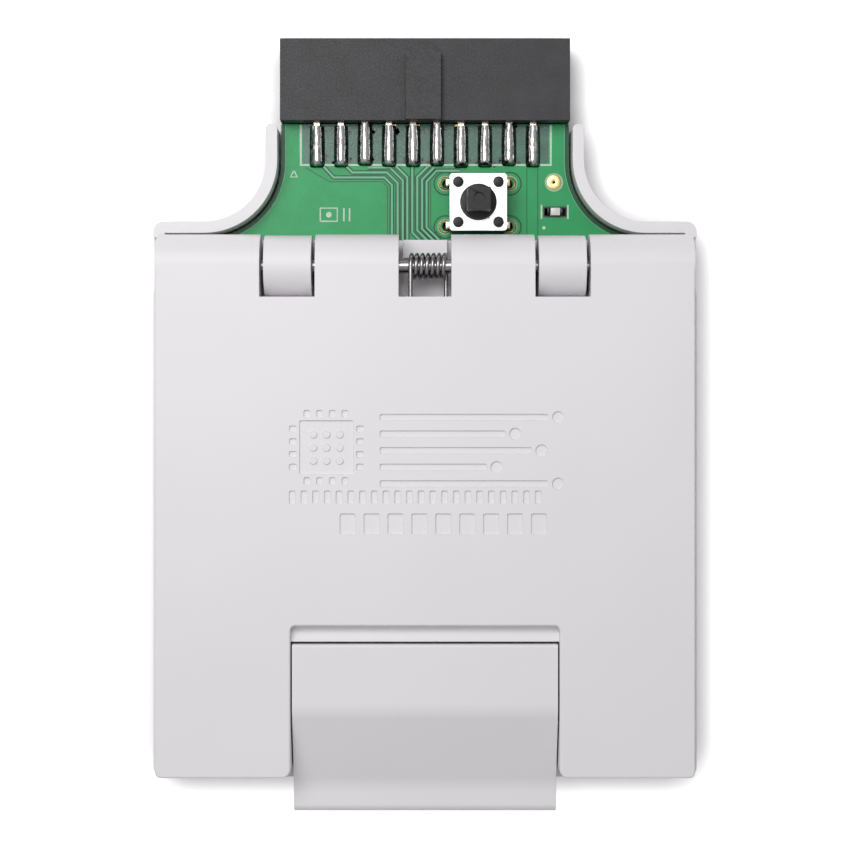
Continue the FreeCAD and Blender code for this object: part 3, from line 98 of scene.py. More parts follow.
def makeLights(lamp, sky):
    data = bpy.data.lights.new("softbox", "AREA")
    data.energy = lamp["power"]
    data.size = lamp["size"]
    data.color = lamp["warmth"]
    softbox = bpy.data.objects.new("softbox", data)
    softbox.location = lamp["place"]
    softbox.rotation_euler = (-Vector(lamp["place"])).to_track_quat("-Z", "Y").to_euler()
    scene.collection.objects.link(softbox)
    world = bpy.data.worlds.new("studio")
    world.use_nodes = True
    tree = world.node_tree
    back = tree.nodes["Background"]
    direction = addNode(tree, "ShaderNodeTexCoord").outputs["Generated"]
    height = addNode(tree, "ShaderNodeSeparateXYZ", {"Vector": direction}).outputs["Z"]
    rise = addNode(tree, "ShaderNodeMapRange", {"Value": height, "From Min": 0.0, "From Max": sky["riseEnd"],
                                                "To Min": sky["low"], "To Max": sky["overhead"]})
    # the white horizon is only seen, and lights nothing
    bandLow, bandHigh = sky["band"]
    band = addNode(tree, "ShaderNodeMapRange", {"Value": height, "From Min": bandLow, "From Max": bandHigh,
                                                "To Min": sky["horizon"], "To Max": 0.0})
    band = addNode(tree, "ShaderNodeMath", {0: band.outputs[0], 1: seenDirectly(tree)}, operation="MULTIPLY")
    level = addNode(tree, "ShaderNodeMath", {0: rise.outputs[0], 1: band.outputs[0]}, operation="MAXIMUM")
    back.inputs["Color"].default_value = (*sky["tint"], 1)
    link(tree, level.outputs[0], back, "Strength")
    scene.world = world


def makeFloor(look):
    half = look["size"] / 2
    mesh = bpy.data.meshes.new("floor")
    corners = [(-half, -half, 0), (half, -half, 0), (half, half, 0), (-half, half, 0)]
    mesh.from_pydata([(x, y, -look["drop"]) for x, y, _ in corners], [], [(0, 1, 2, 3)])
    floor = bpy.data.objects.new("floor", mesh)
    scene.collection.objects.link(floor)
    material = bpy.data.materials.new("paleFloor")
    material.use_nodes = True
    tree = material.node_tree
    tree.nodes.clear()
    matte = addNode(tree, "ShaderNodeBsdfDiffuse", {"Color": (look["colour"],) * 3 + (1,)})
    # the glow fades where something stands on the floor, so the shadow stays close to it
    clear = addNode(tree, "ShaderNodeAmbientOcclusion", {"Distance": look["contact"]}).outputs["AO"]
    fade = addNode(tree, "ShaderNodeMath", {0: clear, 1: look["depth"]}, operation="POWER").outputs[0]
    strength = addNode(tree, "ShaderNodeMath", {0: seenDirectly(tree), 1: look["glow"]},
                       operation="MULTIPLY").outputs[0]
    strength = addNode(tree, "ShaderNodeMath", {0: strength, 1: fade}, operation="MULTIPLY")
    glow = addNode(tree, "ShaderNodeEmission", {"Strength": strength.outputs[0]})
    both = addNode(tree, "ShaderNodeAddShader")
    tree.links.new(matte.outputs[0], both.inputs[0])
    tree.links.new(glow.outputs[0], both.inputs[1])
    output = addNode(tree, "ShaderNodeOutputMaterial")
    link(tree, both.outputs[0], output, "Surface")
    mesh.materials.append(material)


scene.view_settings.view_transform = "Standard"
makeCamera(cameraLook)
makeLights(lampLook, skyLook)
makeFloor(floorLook)
print("adapter: camera, lamps and floor")


# materials

def millimetres(tree, stretch=(1, 1, 1)):
    coords = addNode(tree, "ShaderNodeTexCoord").outputs["Object"]
    scale = [part / mm for part in stretch]
    return addNode(tree, "ShaderNodeMapping", {"Vector": coords, "Scale": scale}).outputs["Vector"]


def noise(tree, vector, scale, detail=2.0, roughness=0.5):
    return addNode(tree, "ShaderNodeTexNoise", {"Vector": vector, "Scale": scale, "Detail": detail,
                                                "Roughness": roughness}).outputs["Fac"]


def spread(tree, value, low, high, fromLow=0.3, fromHigh=0.7):
    # a noise value stretched to run from low to high
    return addNode(tree, "ShaderNodeMapRange", {"Value": value, "From Min": fromLow, "From Max": fromHigh,
                                                "To Min": low, "To Max": high}).outputs[0]


def mixed(tree, share, first, second):
    node = addNode(tree, "ShaderNodeMix", data_type="RGBA")
    for index, value in ((0, share), (6, first), (7, second)):
        if isinstance(value, bpy.types.NodeSocket):
            tree.links.new(value, node.inputs[index])
        else:
            node.inputs[index].default_value = (*value, 1) if index else value
    return node.outputs[2]


def bumped(tree, heights):
    # heights: (value, strength, distance), the broadest first
    normal = None
    for value, strength, distance in heights:
        node = addNode(tree, "ShaderNodeBump", {"Height": value, "Strength": strength, "Distance": distance})
        if normal:
            link(tree, normal, node, "Normal")
        normal = node.outputs[0]
    return normal


def startMaterial(name, look):
    material = bpy.data.materials.new(name)
    material.use_nodes = True
    shader = material.node_tree.nodes["Principled BSDF"]
    for socket in ("Metallic", "IOR", "Coat Weight", "Coat Roughness", "Specular IOR Level",
                   "Transmission Weight"):
        if socket in look:
            shader.inputs[socket].default_value = look[socket]
    return material, material.node_tree, shader


paintLook = {"colour": (0.78, 0.765, 0.79), "shade": (0.755, 0.745, 0.77), "roughness": (0.40, 0.50),
             "patch": 0.06, "grain": 7.0, "peel": 1.6, "grainDepth": 0.006 * mm, "peelDepth": 0.012 * mm,
             "grainStrength": 0.5, "peelStrength": 0.25}
finishLook = {"detail": 3, "grainRoughness": 0.6, "patchStrength": 0.3, "grainStrength": 0.6}


def makePaint(look):
    material, tree, shader = startMaterial("satinWhitePaint", look)
    place = millimetres(tree)
    broad = noise(tree, place, look["patch"], 3)
    grain = noise(tree, place, look["grain"], 2)
    peel = noise(tree, place, look["peel"], 2)
    link(tree, mixed(tree, spread(tree, broad, 0, 1), look["colour"], look["shade"]), shader, "Base Color")
    link(tree, spread(tree, grain, *look["roughness"]), shader, "Roughness")
    link(tree, bumped(tree, [(peel, look["peelStrength"], look["peelDepth"]),
                             (grain, look["grainStrength"], look["grainDepth"])]), shader, "Normal")
    return material


def makePlain(name, look):
    # moulded, machined and printed finishes: two close colours, a roughness range and a fine grain
    material, tree, shader = startMaterial(name, look)
    place = millimetres(tree, look.get("stretch", (1, 1, 1)))
    broad = noise(tree, place, look["patch"], finishLook["detail"])
    grain = noise(tree, place, look["grain"], finishLook["detail"], finishLook["grainRoughness"])
    link(tree, mixed(tree, spread(tree, broad, 0, 1), look["colour"], look["shade"]), shader, "Base Color")
    link(tree, spread(tree, grain, *look["roughness"]), shader, "Roughness")
    link(tree, bumped(tree, [(broad, finishLook["patchStrength"], look["patchDepth"]),
                             (grain, finishLook["grainStrength"], look["grainDepth"])]), shader, "Normal")
    return material


# painted shade: the solder goes near-black towards the board, standing in for the dark reflections on its
# flanks
flankShadeLook = {"colour": (0.03, 0.03, 0.03), "board": 3.8, "low": 1.15, "high": 1.65,
             "wander": 0.2, "patch": 2.5}


def makeSolder(look, flankShade):
    # bright metal, darkened towards the board on either side of it: painted shade standing in for the dark
    # reflections on its flanks
    material = makePlain("brightSolder", look)
    tree = material.node_tree
    shader = tree.nodes["Principled BSDF"]
    bright = shader.inputs["Base Color"].links[0].from_socket
    place = millimetres(tree)
    height = addNode(tree, "ShaderNodeSeparateXYZ", {"Vector": place}).outputs["Z"]
    away = addNode(tree, "ShaderNodeMath", {0: height, 1: flankShade["board"]}, operation="SUBTRACT").outputs[0]
    away = addNode(tree, "ShaderNodeMath", {0: away}, operation="ABSOLUTE").outputs[0]
    wander = spread(tree, noise(tree, place, flankShade["patch"], 2), -flankShade["wander"], flankShade["wander"])
    away = addNode(tree, "ShaderNodeMath", {0: away, 1: wander}, operation="ADD").outputs[0]
    share = spread(tree, away, 0, 1, flankShade["low"], flankShade["high"])
    link(tree, mixed(tree, share, flankShade["colour"], bright), shader, "Base Color")
    return material


headerLook = {"colour": (0.038, 0.036, 0.040), "shade": (0.028, 0.027, 0.030), "roughness": (0.42, 0.62),
              "Specular IOR Level": 0.4,
              "patch": 0.5, "patchDepth": 0.01 * mm, "grain": 5.0, "grainDepth": 0.012 * mm}
switchLook = {"colour": (0.010, 0.010, 0.011), "shade": (0.016, 0.016, 0.017), "roughness": (0.30, 0.46),
              "Specular IOR Level": 0.3,
              "patch": 0.8, "patchDepth": 0.006 * mm, "grain": 9.0, "grainDepth": 0.006 * mm}
socketLook = {"colour": (0.045, 0.043, 0.041), "shade": (0.062, 0.058, 0.054), "roughness": (0.42, 0.58),
              "patch": 0.3, "patchDepth": 0.004 * mm, "grain": 6.0, "grainDepth": 0.006 * mm,
              "stretch": (1, 0.08, 1)}
maskLook = {"colour": (0.012, 0.345, 0.106), "shade": (0.010, 0.300, 0.090), "roughness": (0.30, 0.42),
            "Specular IOR Level": 0.35,
            "patch": 0.35, "patchDepth": 0.004 * mm, "grain": 4.0, "grainDepth": 0.003 * mm}
gapLook = dict(maskLook, colour=(0.006, 0.085, 0.034), shade=(0.005, 0.068, 0.028))
traceLook = dict(maskLook, colour=(0.150, 0.500, 0.280), shade=(0.120, 0.440, 0.240))
fluxLook = {"colour": (0.040, 0.150, 0.100), "shade": (0.024, 0.100, 0.066), "roughness": (0.15, 0.45),
            "patch": 0.7, "patchDepth": 0.02 * mm, "grain": 5.0, "grainDepth": 0.008 * mm}
# near-black spots beside the joints: flux residue, partly painted shade where the joints meet the board
darkFluxAndShadeLook = dict(fluxLook, colour=(0.014, 0.040, 0.030), shade=(0.008, 0.022, 0.016))
laminateLook = {"colour": (0.30, 0.33, 0.15), "shade": (0.22, 0.27, 0.11), "roughness": (0.55, 0.75),
                "patch": 2.0, "patchDepth": 0.01 * mm, "grain": 6.0, "grainDepth": 0.02 * mm,
                "stretch": (1, 1, 4)}
inkLook = {"colour": (0.62, 0.72, 0.62), "shade": (0.46, 0.60, 0.48), "roughness": (0.5, 0.7),
           "patch": 3.0, "patchDepth": 0.004 * mm, "grain": 12.0, "grainDepth": 0.004 * mm}
lightLook = {"colour": (0.70, 0.66, 0.60), "shade": (0.80, 0.78, 0.75), "roughness": (0.35, 0.5),
             "patch": 2.5, "patchDepth": 0.004 * mm, "grain": 8.0, "grainDepth": 0.004 * mm}

steelLook = {"colour": (0.42, 0.41, 0.41), "shade": (0.30, 0.29, 0.29), "roughness": (0.16, 0.28),
             "patch": 0.8, "patchDepth": 0.002 * mm, "grain": 10.0, "grainDepth": 0.003 * mm, "Metallic": 1.0}
sheetLook = {"colour": (0.86, 0.86, 0.87), "shade": (0.80, 0.80, 0.81), "roughness": (0.30, 0.42),
             "patch": 0.4, "patchDepth": 0.002 * mm, "grain": 6.0, "grainDepth": 0.002 * mm,
             "stretch": (1, 0.06, 1), "Metallic": 1.0}
solderLook = {"colour": (0.74, 0.74, 0.74), "shade": (0.52, 0.52, 0.52), "roughness": (0.10, 0.24),
              "patch": 1.8, "patchDepth": 0.05 * mm, "grain": 6.0, "grainDepth": 0.006 * mm, "Metallic": 1.0}
goldLook = {"colour": (0.86, 0.66, 0.30), "shade": (0.74, 0.52, 0.20), "roughness": (0.20, 0.36),
            "patch": 1.2, "patchDepth": 0.004 * mm, "grain": 8.0, "grainDepth": 0.003 * mm, "Metallic": 1.0}
tinLook = {"colour": (0.82, 0.76, 0.64), "shade": (0.78, 0.70, 0.52), "roughness": (0.18, 0.32),
           "patch": 0.7, "patchDepth": 0.004 * mm, "grain": 7.0, "grainDepth": 0.003 * mm, "Metallic": 1.0}
lensLook = {"colour": (0.86, 0.84, 0.80), "shade": (0.80, 0.78, 0.74), "roughness": (0.08, 0.16),
            "patch": 1.5, "patchDepth": 0.004 * mm, "grain": 8.0, "grainDepth": 0.002 * mm,
            "Transmission Weight": 0.2, "IOR": 1.45}

paint = makePaint(paintLook)
headerBlack = makePlain("mouldedHeaderBlack", headerLook)
switchBlack = makePlain("mouldedSwitchBlack", switchLook)
socketDark = makePlain("machinedDarkPlastic", socketLook)
mask = makePlain("greenMask", maskLook)
maskGap = makePlain("greenMaskOverLaminate", gapLook)
maskTrace = makePlain("greenMaskOverTraces", traceLook)
fluxGreen = makePlain("fluxStainedMask", fluxLook)
laminate = makePlain("cutLaminateEdge", laminateLook)
ink = makePlain("whiteBoardInk", inkLook)
lightResin = makePlain("whiteLightResin", lightLook)
steel = makePlain("springSteel", steelLook)
brightSheet = makePlain("brightCoverSheet", sheetLook)
solder = makeSolder(solderLook, flankShadeLook)
darkFlux = makePlain("darkFlux", darkFluxAndShadeLook)
gold = makePlain("goldPlate", goldLook)
tinned = makePlain("platedTails", tinLook)
clearLens = makePlain("clearLens", lensLook)
print("adapter: materials")


# pieces from the frame's own shapes, with their edges eased

def linked(name, mesh):
    piece = bpy.data.objects.new(name, mesh)
    scene.collection.objects.link(piece)
    return piece


def finishedMesh(edit, name, sharp=None):
    # smooth between its sharp edges where an angle is given
    mesh = bpy.data.meshes.new(name)
    edit.to_mesh(mesh)
    edit.free()
    if sharp:
        mesh.shade_smooth()
        mesh.set_sharp_from_angle(angle=math.radians(sharp))
    return mesh


def evaluated(holder):
    graph = bpy.context.evaluated_depsgraph_get()
    graph.update()
    return bpy.data.meshes.new_from_object(holder.evaluated_get(graph), depsgraph=graph)


def settled(holder, name, materials, sharp=40):
    # the holder's modifiers made into a plain smooth mesh of its own
    mesh = evaluated(holder)
    bpy.data.objects.remove(holder)
    mesh.name = name
    mesh.materials.clear()
    for material in materials:
        mesh.materials.append(material)
    mesh.shade_smooth()
    mesh.set_sharp_from_angle(angle=math.radians(sharp))
    return linked(name, mesh)


def weighted(piece):
    # flat faces stay flat beside rounded edges
    name = piece.name
    piece.name = name + "Rough"
    modifier = piece.modifiers.new("weighted", "WEIGHTED_NORMAL")
    modifier.keep_sharp = True
    mesh = evaluated(piece)
    bpy.data.objects.remove(piece)
    mesh.name = name
    return linked(name, mesh)


mergeSizes = {"join": 0.001 * mm, "shortest": 0.0005 * mm, "flat": 1}


def mergedMesh(nodeName):
    # the node's loose triangles joined up again
    edit = bmesh.new()
    edit.from_mesh(nodes[nodeName].data)
    bmesh.ops.remove_doubles(edit, verts=edit.verts, dist=mergeSizes["join"])
    bmesh.ops.dissolve_degenerate(edit, edges=edit.edges, dist=mergeSizes["shortest"])
    bmesh.ops.dissolve_limit(edit, angle_limit=math.radians(mergeSizes["flat"]), verts=edit.verts,
                             edges=edit.edges)
    return edit


def easeEdges(edit, width, segments=2, limit=35):
    sharpEdges = [edge for edge in edit.edges
                  if len(edge.link_faces) == 2 and edge.calc_face_angle() > math.radians(limit)]
    bmesh.ops.bevel(edit, geom=sharpEdges, offset=width, segments=segments, profile=0.5,
                    affect="EDGES", clamp_overlap=True)


def easedCopy(nodeName, name, materials, width, segments=2, sides=None, sharp=40):
    # faces that stand steeper than the sides value take the second material
    edit = mergedMesh(nodeName)
    easeEdges(edit, width, segments)
    if sides:
        for face in edit.faces:
            face.material_index = 0 if abs(face.normal.z) > sides else 1
    mesh = bpy.data.meshes.new(name)
    for material in materials:
        mesh.materials.append(material)
    edit.to_mesh(mesh)
    edit.free()
    mesh.shade_smooth()
    mesh.set_sharp_from_angle(angle=math.radians(sharp))
    return weighted(linked(name, mesh))


def settle(piece, body, slot, *replaced):
    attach(piece, body)
    for nodeName in replaced:
        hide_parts(nodeName)


easedPieces = [
    # node, name, materials, edge width in mm, body, slot
    ("base_frame", "baseFrame", paint, 0.14, "base", "white_paint"),
    ("bottom_cover", "bottomCover", paint, 0.10, "base", "white_paint"),
    ("latch", "latchLever", paint, 0.14, "latch", "white_paint"),
    ("header_housing", "headerHousing", headerBlack, 0.06, "base", "black_plastic"),
    ("switch_body", "switchBody", switchBlack, 0.05, "base", "black_plastic"),
    ("switch_cover_plate", "switchCoverPlate", brightSheet, 0.04, "base", "bright_metal"),
    ("switch_plunger", "switchPlunger", switchBlack, 0.05, "switch_button", "black_plastic"),
    ("switch_terminals", "switchLegs", tinned, 0.03, "base", "tinned"),
    ("header_contacts_top", "upperTails", tinned, 0.03, "base", "tinned"),
    ("header_contacts_bottom", "lowerTails", tinned, 0.03, "base", "tinned"),
    ("cover_screws", "coverScrews", steel, 0.04, "base", "steel"),
    ("hinge_pin", "hingePin", steel, 0.08, "base", "steel"),
    ("latch_pin", "latchPin", steel, 0.08, "lid", "steel"),
    ("pressure_plate", "pressurePlate", socketDark, 0.08, "pressure_plate", "dark_plastic"),
    ("pressure_screws", "pressureScrews", steel, 0.05, "lid", "steel"),
    ("contact_block", "contactBlock", socketDark, 0.06, "base", "dark_plastic"),
    ("contact_pins", "contactPins", gold, 0.02, "contacts", "gold"),
    ("chip_guide", "chipGuide", socketDark, 0.06, "chip_guide", "dark_plastic"),
    ("guide_screws", "guideScrews", steel, 0.05, "base", "steel"),
    ("led_body", "lightBody", lightResin, 0.02, "base", "led_white"),
    ("led_terminals", "lightTerminals", solder, 0.02, "base", "solder"),
    ("switch_dome", "switchDome", brightSheet, 0.02, "base", "bright_metal"),
]
for nodeName, name, material, width, body, slot in easedPieces:
    settle(easedCopy(nodeName, name, [material], width * mm), body, slot, nodeName)
print("adapter: eased pieces")


# outlines and slabs

def widened(outline, amount):
    # a flat outline moved outwards by the amount
    corners = [Vector(corner) for corner in outline]
    moved = []
    for index, corner in enumerate(corners):
        along = (corners[(index + 1) % len(corners)] - corners[index - 1]).normalized()
        moved.append((corner.x + along.y * amount, corner.y - along.x * amount))
    return moved


def slabMesh(name, outlines, low, high, flare=0.0):
    # closed slabs standing on flat outlines, each wider at its top by the flare
    edit = bmesh.new()
    for outline in outlines:
        lower = [edit.verts.new((x, y, low)) for x, y in outline]
        upper = [edit.verts.new((x, y, high)) for x, y in widened(outline, flare)]
        edit.faces.new(lower[::-1])
        edit.faces.new(upper)
        for index in range(len(lower)):
            after = (index + 1) % len(lower)
            edit.faces.new((lower[index], lower[after], upper[after], upper[index]))
    return finishedMesh(edit, name)


def roundedBox(left, front, right, rear, radius, steps=4):
    outline = []
    for x, y, turn in ((right - radius, front + radius, -90), (right - radius, rear - radius, 0),
                       (left + radius, rear - radius, 90), (left + radius, front + radius, 180)):
        for step in range(steps + 1):
            angle = math.radians(turn + 90 * step / steps)
            outline.append((x + radius * math.cos(angle), y + radius * math.sin(angle)))
    return outline


def disc(x, y, radius, sides=24):
    return [(x + radius * math.cos(math.tau * step / sides), y + radius * math.sin(math.tau * step / sides))
            for step in range(sides)]


def arcPoints(x, y, radius, start, end, steps=16):
    angles = [math.radians(start + (end - start) * step / steps) for step in range(steps + 1)]
    return [(x + radius * math.cos(angle), y + radius * math.sin(angle)) for angle in angles]


# lid, with a shallow generic design sunk in its top

engravingLook = {"depth": 0.22, "flare": 0.04, "corner": 0.15, "rear": 1.5, "front": -6.1,
                 "chipLeft": -13.9, "band": 1.05, "dot": 0.4, "dotStep": 1.35,
                 "pins": 4, "pinStart": 0.45, "pinStep": 1.3, "pinWidth": 0.6, "pinLength": 0.72,
                 "lineLeft": -4.6, "lineRear": 1.1, "lineStep": 1.7, "lineWidth": 0.62, "endGap": 0.45,
                 "lineEnds": [12.6, 8.2, 10.9, 6.3, 12.6], "endRadius": 0.58,
                 "dashRear": -6.75, "dashFront": -8.05, "dashes": 22, "dashStep": 1.2, "dashWidth": 0.6,
                 "padRear": -9.1, "padFront": -11.2, "padShift": 5.2, "pads": 9, "padStep": 2.45,
                 "padWidth": 1.55, "cornerSteps": 3, "discSides": 28}
lidLook = {"edge": 0.2, "top": 12.3, "sharp": 35, "flat": 0.9999}
ledgeLook = {"half": 13.83, "wall": -20.6, "foot": 7.98, "low": 10.9, "level": 11.6, "cove": 0.45,
             "pin": (-31.0, 9.4), "reach": 9.02, "steps": 8,
             "overlap": 0.1, "sharp": 40}
lensSizes = {"edge": 0.06, "segments": 3}


def engravingOutlines(look):
    rear, front, corner = look["rear"], look["front"], look["corner"]
    left, band = look["chipLeft"], look["band"]
    right = left + rear - front
    boxes = [(left + band, front + band, right - band, rear - band)]
    for index in range(look["pins"]):
        along = left + band + look["pinStart"] + index * look["pinStep"]
        across = front + band + look["pinStart"] + index * look["pinStep"]
        boxes += [(along, front, along + look["pinWidth"], front + look["pinLength"]),
                  (along, rear - look["pinLength"], along + look["pinWidth"], rear),
                  (left, across, left + look["pinLength"], across + look["pinWidth"]),
                  (right - look["pinLength"], across, right, across + look["pinWidth"])]
    ends = []
    for index, end in enumerate(look["lineEnds"]):
        y = look["lineRear"] - index * look["lineStep"]
        boxes.append((look["lineLeft"], y - look["lineWidth"], end, y))
        ends.append((end + look["endGap"] + look["endRadius"], y - look["lineWidth"] / 2))
    for index in range(look["dashes"]):
        x = left + index * look["dashStep"]
        boxes.append((x, look["dashFront"], x + look["dashWidth"], look["dashRear"]))
    for index in range(look["pads"]):
        x = left + look["padShift"] + index * look["padStep"]
        boxes.append((x, look["padFront"], x + look["padWidth"], look["padRear"]))
    outlines = [roundedBox(*box, corner, look["cornerSteps"]) for box in boxes]
    outlines += [disc(x, y, look["endRadius"], look["discSides"]) for x, y in ends]
    return [[(x * mm, y * mm) for x, y in outline] for outline in outlines]


def makeLid(look, engraving):
    body = easedCopy("lid", "lidBody", [paint], look["edge"] * mm)
    low = (look["top"] - engraving["depth"]) * mm
    cutter = linked("engravingCutter", slabMesh("engravingCutter", engravingOutlines(engraving), low,
                                                (look["top"] + engraving["depth"]) * mm,
                                                2 * engraving["flare"] * mm))
    cut = body.modifiers.new("engraving", "BOOLEAN")
    cut.operation = "DIFFERENCE"
    cut.solver = "FAST"
    cut.object = cutter
    mesh = evaluated(body)
    bpy.data.objects.remove(body)
    bpy.data.objects.remove(cutter)
    mesh.name = "lidShell"
    mesh.materials.clear()
    mesh.materials.append(paint)
    mesh.shade_smooth()
    mesh.set_sharp_from_angle(angle=math.radians(look["sharp"]))
    for face in mesh.polygons:
        if abs(face.normal.z) > look["flat"]:
            face.use_smooth = False
    return weighted(linked("lidShell", mesh))


def makeNotchLedge(look):
    # the step behind the latch: it rises from the notch's wall and is hollow where the tail turns past
    cove, reach, steps = look["cove"], look["reach"], look["steps"]
    pinY, pinZ = look["pin"]
    rear = look["wall"] + look["overlap"]
    profile = [(rear, look["foot"]), (rear, look["low"] + cove)]
    profile += arcPoints(look["wall"] - cove, look["low"] + cove, cove, 0, -90, steps)
    top = math.asin((look["level"] - pinZ) / reach)
    for index in range(steps + 1):
        angle = top * (1 - index / steps)
        profile.append((pinY + reach * math.cos(angle), pinZ + reach * math.sin(angle)))
    profile.append((pinY + reach, look["foot"]))
    edit = bmesh.new()
    ends = [[edit.verts.new((x * mm, y * mm, z * mm)) for y, z in profile]
            for x in (-look["half"], look["half"])]
    edit.faces.new(ends[0])
    edit.faces.new(ends[1][::-1])
    for index in range(len(profile)):
        after = (index + 1) % len(profile)
        edit.faces.new((ends[0][index], ends[0][after], ends[1][after], ends[1][index]))
    bmesh.ops.recalc_face_normals(edit, faces=edit.faces)
    mesh = finishedMesh(edit, "notchLedge", look["sharp"])
    mesh.materials.append(paint)
    return linked("notchLedge", mesh)


def makeEngravedDots(look, engraving):
    # nine raised dots on the floor of the sunk chip
    middleX = engraving["chipLeft"] + (engraving["rear"] - engraving["front"]) / 2
    middleY = (engraving["rear"] + engraving["front"]) / 2
    step = engraving["dotStep"]
    dots = [disc((middleX + column * step) * mm, (middleY + row * step) * mm, engraving["dot"] * mm,
                 engraving["discSides"])
            for column in (-1, 0, 1) for row in (-1, 0, 1)]
    floor = look["top"] - engraving["depth"]
    piece = linked("engravedDots", slabMesh("engravedDots", dots, floor * mm,
                                            (look["top"] - engraving["flare"]) * mm,
                                            -engraving["flare"] * mm))
    piece.data.materials.append(paint)
    return piece


settle(makeLid(lidLook, engravingLook), "lid", "white_paint", "lid")
settle(makeEngravedDots(lidLook, engravingLook), "lid", "white_paint")
settle(makeNotchLedge(ledgeLook), "lid", "white_paint")
settle(easedCopy("led_lens", "lightLens", [clearLens], lensSizes["edge"] * mm, lensSizes["segments"]),
       "base", "led_lens", "led_lens")
print("adapter: lid")


# trees that repeat a shape or sweep one along a path

def startTree(name, inputs):
    tree = bpy.data.node_groups.new(name, "GeometryNodeTree")
    tree.interface.new_socket("Geometry", in_out="INPUT", socket_type="NodeSocketGeometry")
    for label, kind in inputs.items():
        tree.interface.new_socket(label, in_out="INPUT", socket_type="NodeSocket" + kind)
    tree.interface.new_socket("Geometry", in_out="OUTPUT", socket_type="NodeSocketGeometry")
    return tree, tree.nodes.new("NodeGroupInput"), tree.nodes.new("NodeGroupOutput")


def endTree(tree, geometry, given, output):
    real = addNode(tree, "GeometryNodeRealizeInstances", {"Geometry": geometry})
    final = addNode(tree, "GeometryNodeSetMaterial", {"Geometry": real.outputs[0],
                                                      "Material": given.outputs["Material"]})
    link(tree, final.outputs[0], output, "Geometry")
    return tree


def grown(name, tree, values, mesh=None, sharp=40):
    holder = linked(name + "Holder", mesh or bpy.data.meshes.new(name + "Seed"))
    modifier = holder.modifiers.new(tree.name, "NODES")
    modifier.node_group = tree
    for item in tree.interface.items_tree:
        if item.item_type == "SOCKET" and item.in_out == "INPUT" and item.name in values:
            modifier[item.identifier] = values[item.name]
    return settled(holder, name, [values["Material"]], sharp)


def stripTree():
    # flat raised strips along the edges of a path mesh
    tree, given, output = startTree("stripsAlongPaths", {"Width": "Float", "Height": "Float",
                                                         "Material": "Material"})
    curve = addNode(tree, "GeometryNodeMeshToCurve", {"Mesh": given.outputs["Geometry"]})
    upright = addNode(tree, "GeometryNodeSetCurveNormal", {"Curve": curve.outputs[0]}, mode="Z_UP")
    profile = addNode(tree, "GeometryNodeCurvePrimitiveQuadrilateral", {
        "Width": given.outputs["Width"], "Height": given.outputs["Height"]})
    swept = addNode(tree, "GeometryNodeCurveToMesh", {"Curve": upright.outputs[0],
                                                      "Profile Curve": profile.outputs[0],
                                                      "Fill Caps": True})
    return endTree(tree, swept.outputs[0], given, output)


def wireTree():
    # round wire along a path mesh
    tree, given, output = startTree("wireAlongPath", {"Wire": "Float", "Sides": "Int",
                                                      "Material": "Material"})
    curve = addNode(tree, "GeometryNodeMeshToCurve", {"Mesh": given.outputs["Geometry"]})
    section = addNode(tree, "GeometryNodeCurvePrimitiveCircle", {"Resolution": given.outputs["Sides"],
                                                                 "Radius": given.outputs["Wire"]})
    swept = addNode(tree, "GeometryNodeCurveToMesh", {"Curve": curve.outputs[0],
                                                      "Profile Curve": section.outputs[0], "Fill Caps": True})
    return endTree(tree, swept.outputs[0], given, output)


def springTree():
    # round-wire coils, one at each point of the seed mesh, turned by seed
    tree, given, output = startTree("coils", {"Turns": "Float", "Radius": "Float", "Height": "Float",
                                              "Wire": "Float", "Steps": "Int", "Sides": "Int",
                                              "Seed": "Int", "Material": "Material"})
    spiral = addNode(tree, "GeometryNodeCurveSpiral", {
        "Rotations": given.outputs["Turns"], "Start Radius": given.outputs["Radius"],
        "End Radius": given.outputs["Radius"], "Height": given.outputs["Height"],
        "Resolution": given.outputs["Steps"]})
    section = addNode(tree, "GeometryNodeCurvePrimitiveCircle", {
        "Resolution": given.outputs["Sides"], "Radius": given.outputs["Wire"]})
    coil = addNode(tree, "GeometryNodeCurveToMesh", {"Curve": spiral.outputs[0],
                                                     "Profile Curve": section.outputs[0], "Fill Caps": True})
    points = addNode(tree, "GeometryNodeMeshToPoints", {"Mesh": given.outputs["Geometry"]})
    turn = addNode(tree, "FunctionNodeRandomValue", {"Seed": given.outputs["Seed"], 3: math.tau},
                   data_type="FLOAT")
    spin = addNode(tree, "ShaderNodeCombineXYZ", {"Z": turn.outputs[1]})
    placed = addNode(tree, "GeometryNodeInstanceOnPoints", {
        "Points": points.outputs[0], "Instance": coil.outputs[0], "Rotation": spin.outputs[0]})
    return endTree(tree, placed.outputs[0], given, output)


def pathMesh(paths, height):
    vertices, edges = [], []
    for path in paths:
        first = len(vertices)
        vertices += [(x * mm, y * mm, height * mm) for x, y in path]
        edges += [(first + index, first + index + 1) for index in range(len(path) - 1)]
    mesh = bpy.data.meshes.new("paths")
    mesh.from_pydata(vertices, edges, [])
    return mesh


def pointMesh(points):
    mesh = bpy.data.meshes.new("points")
    mesh.from_pydata([(x * mm, y * mm, z * mm) for x, y, z in points], [], [])
    return mesh


strips = stripTree()
wires = wireTree()
coils = springTree()


# circuit board

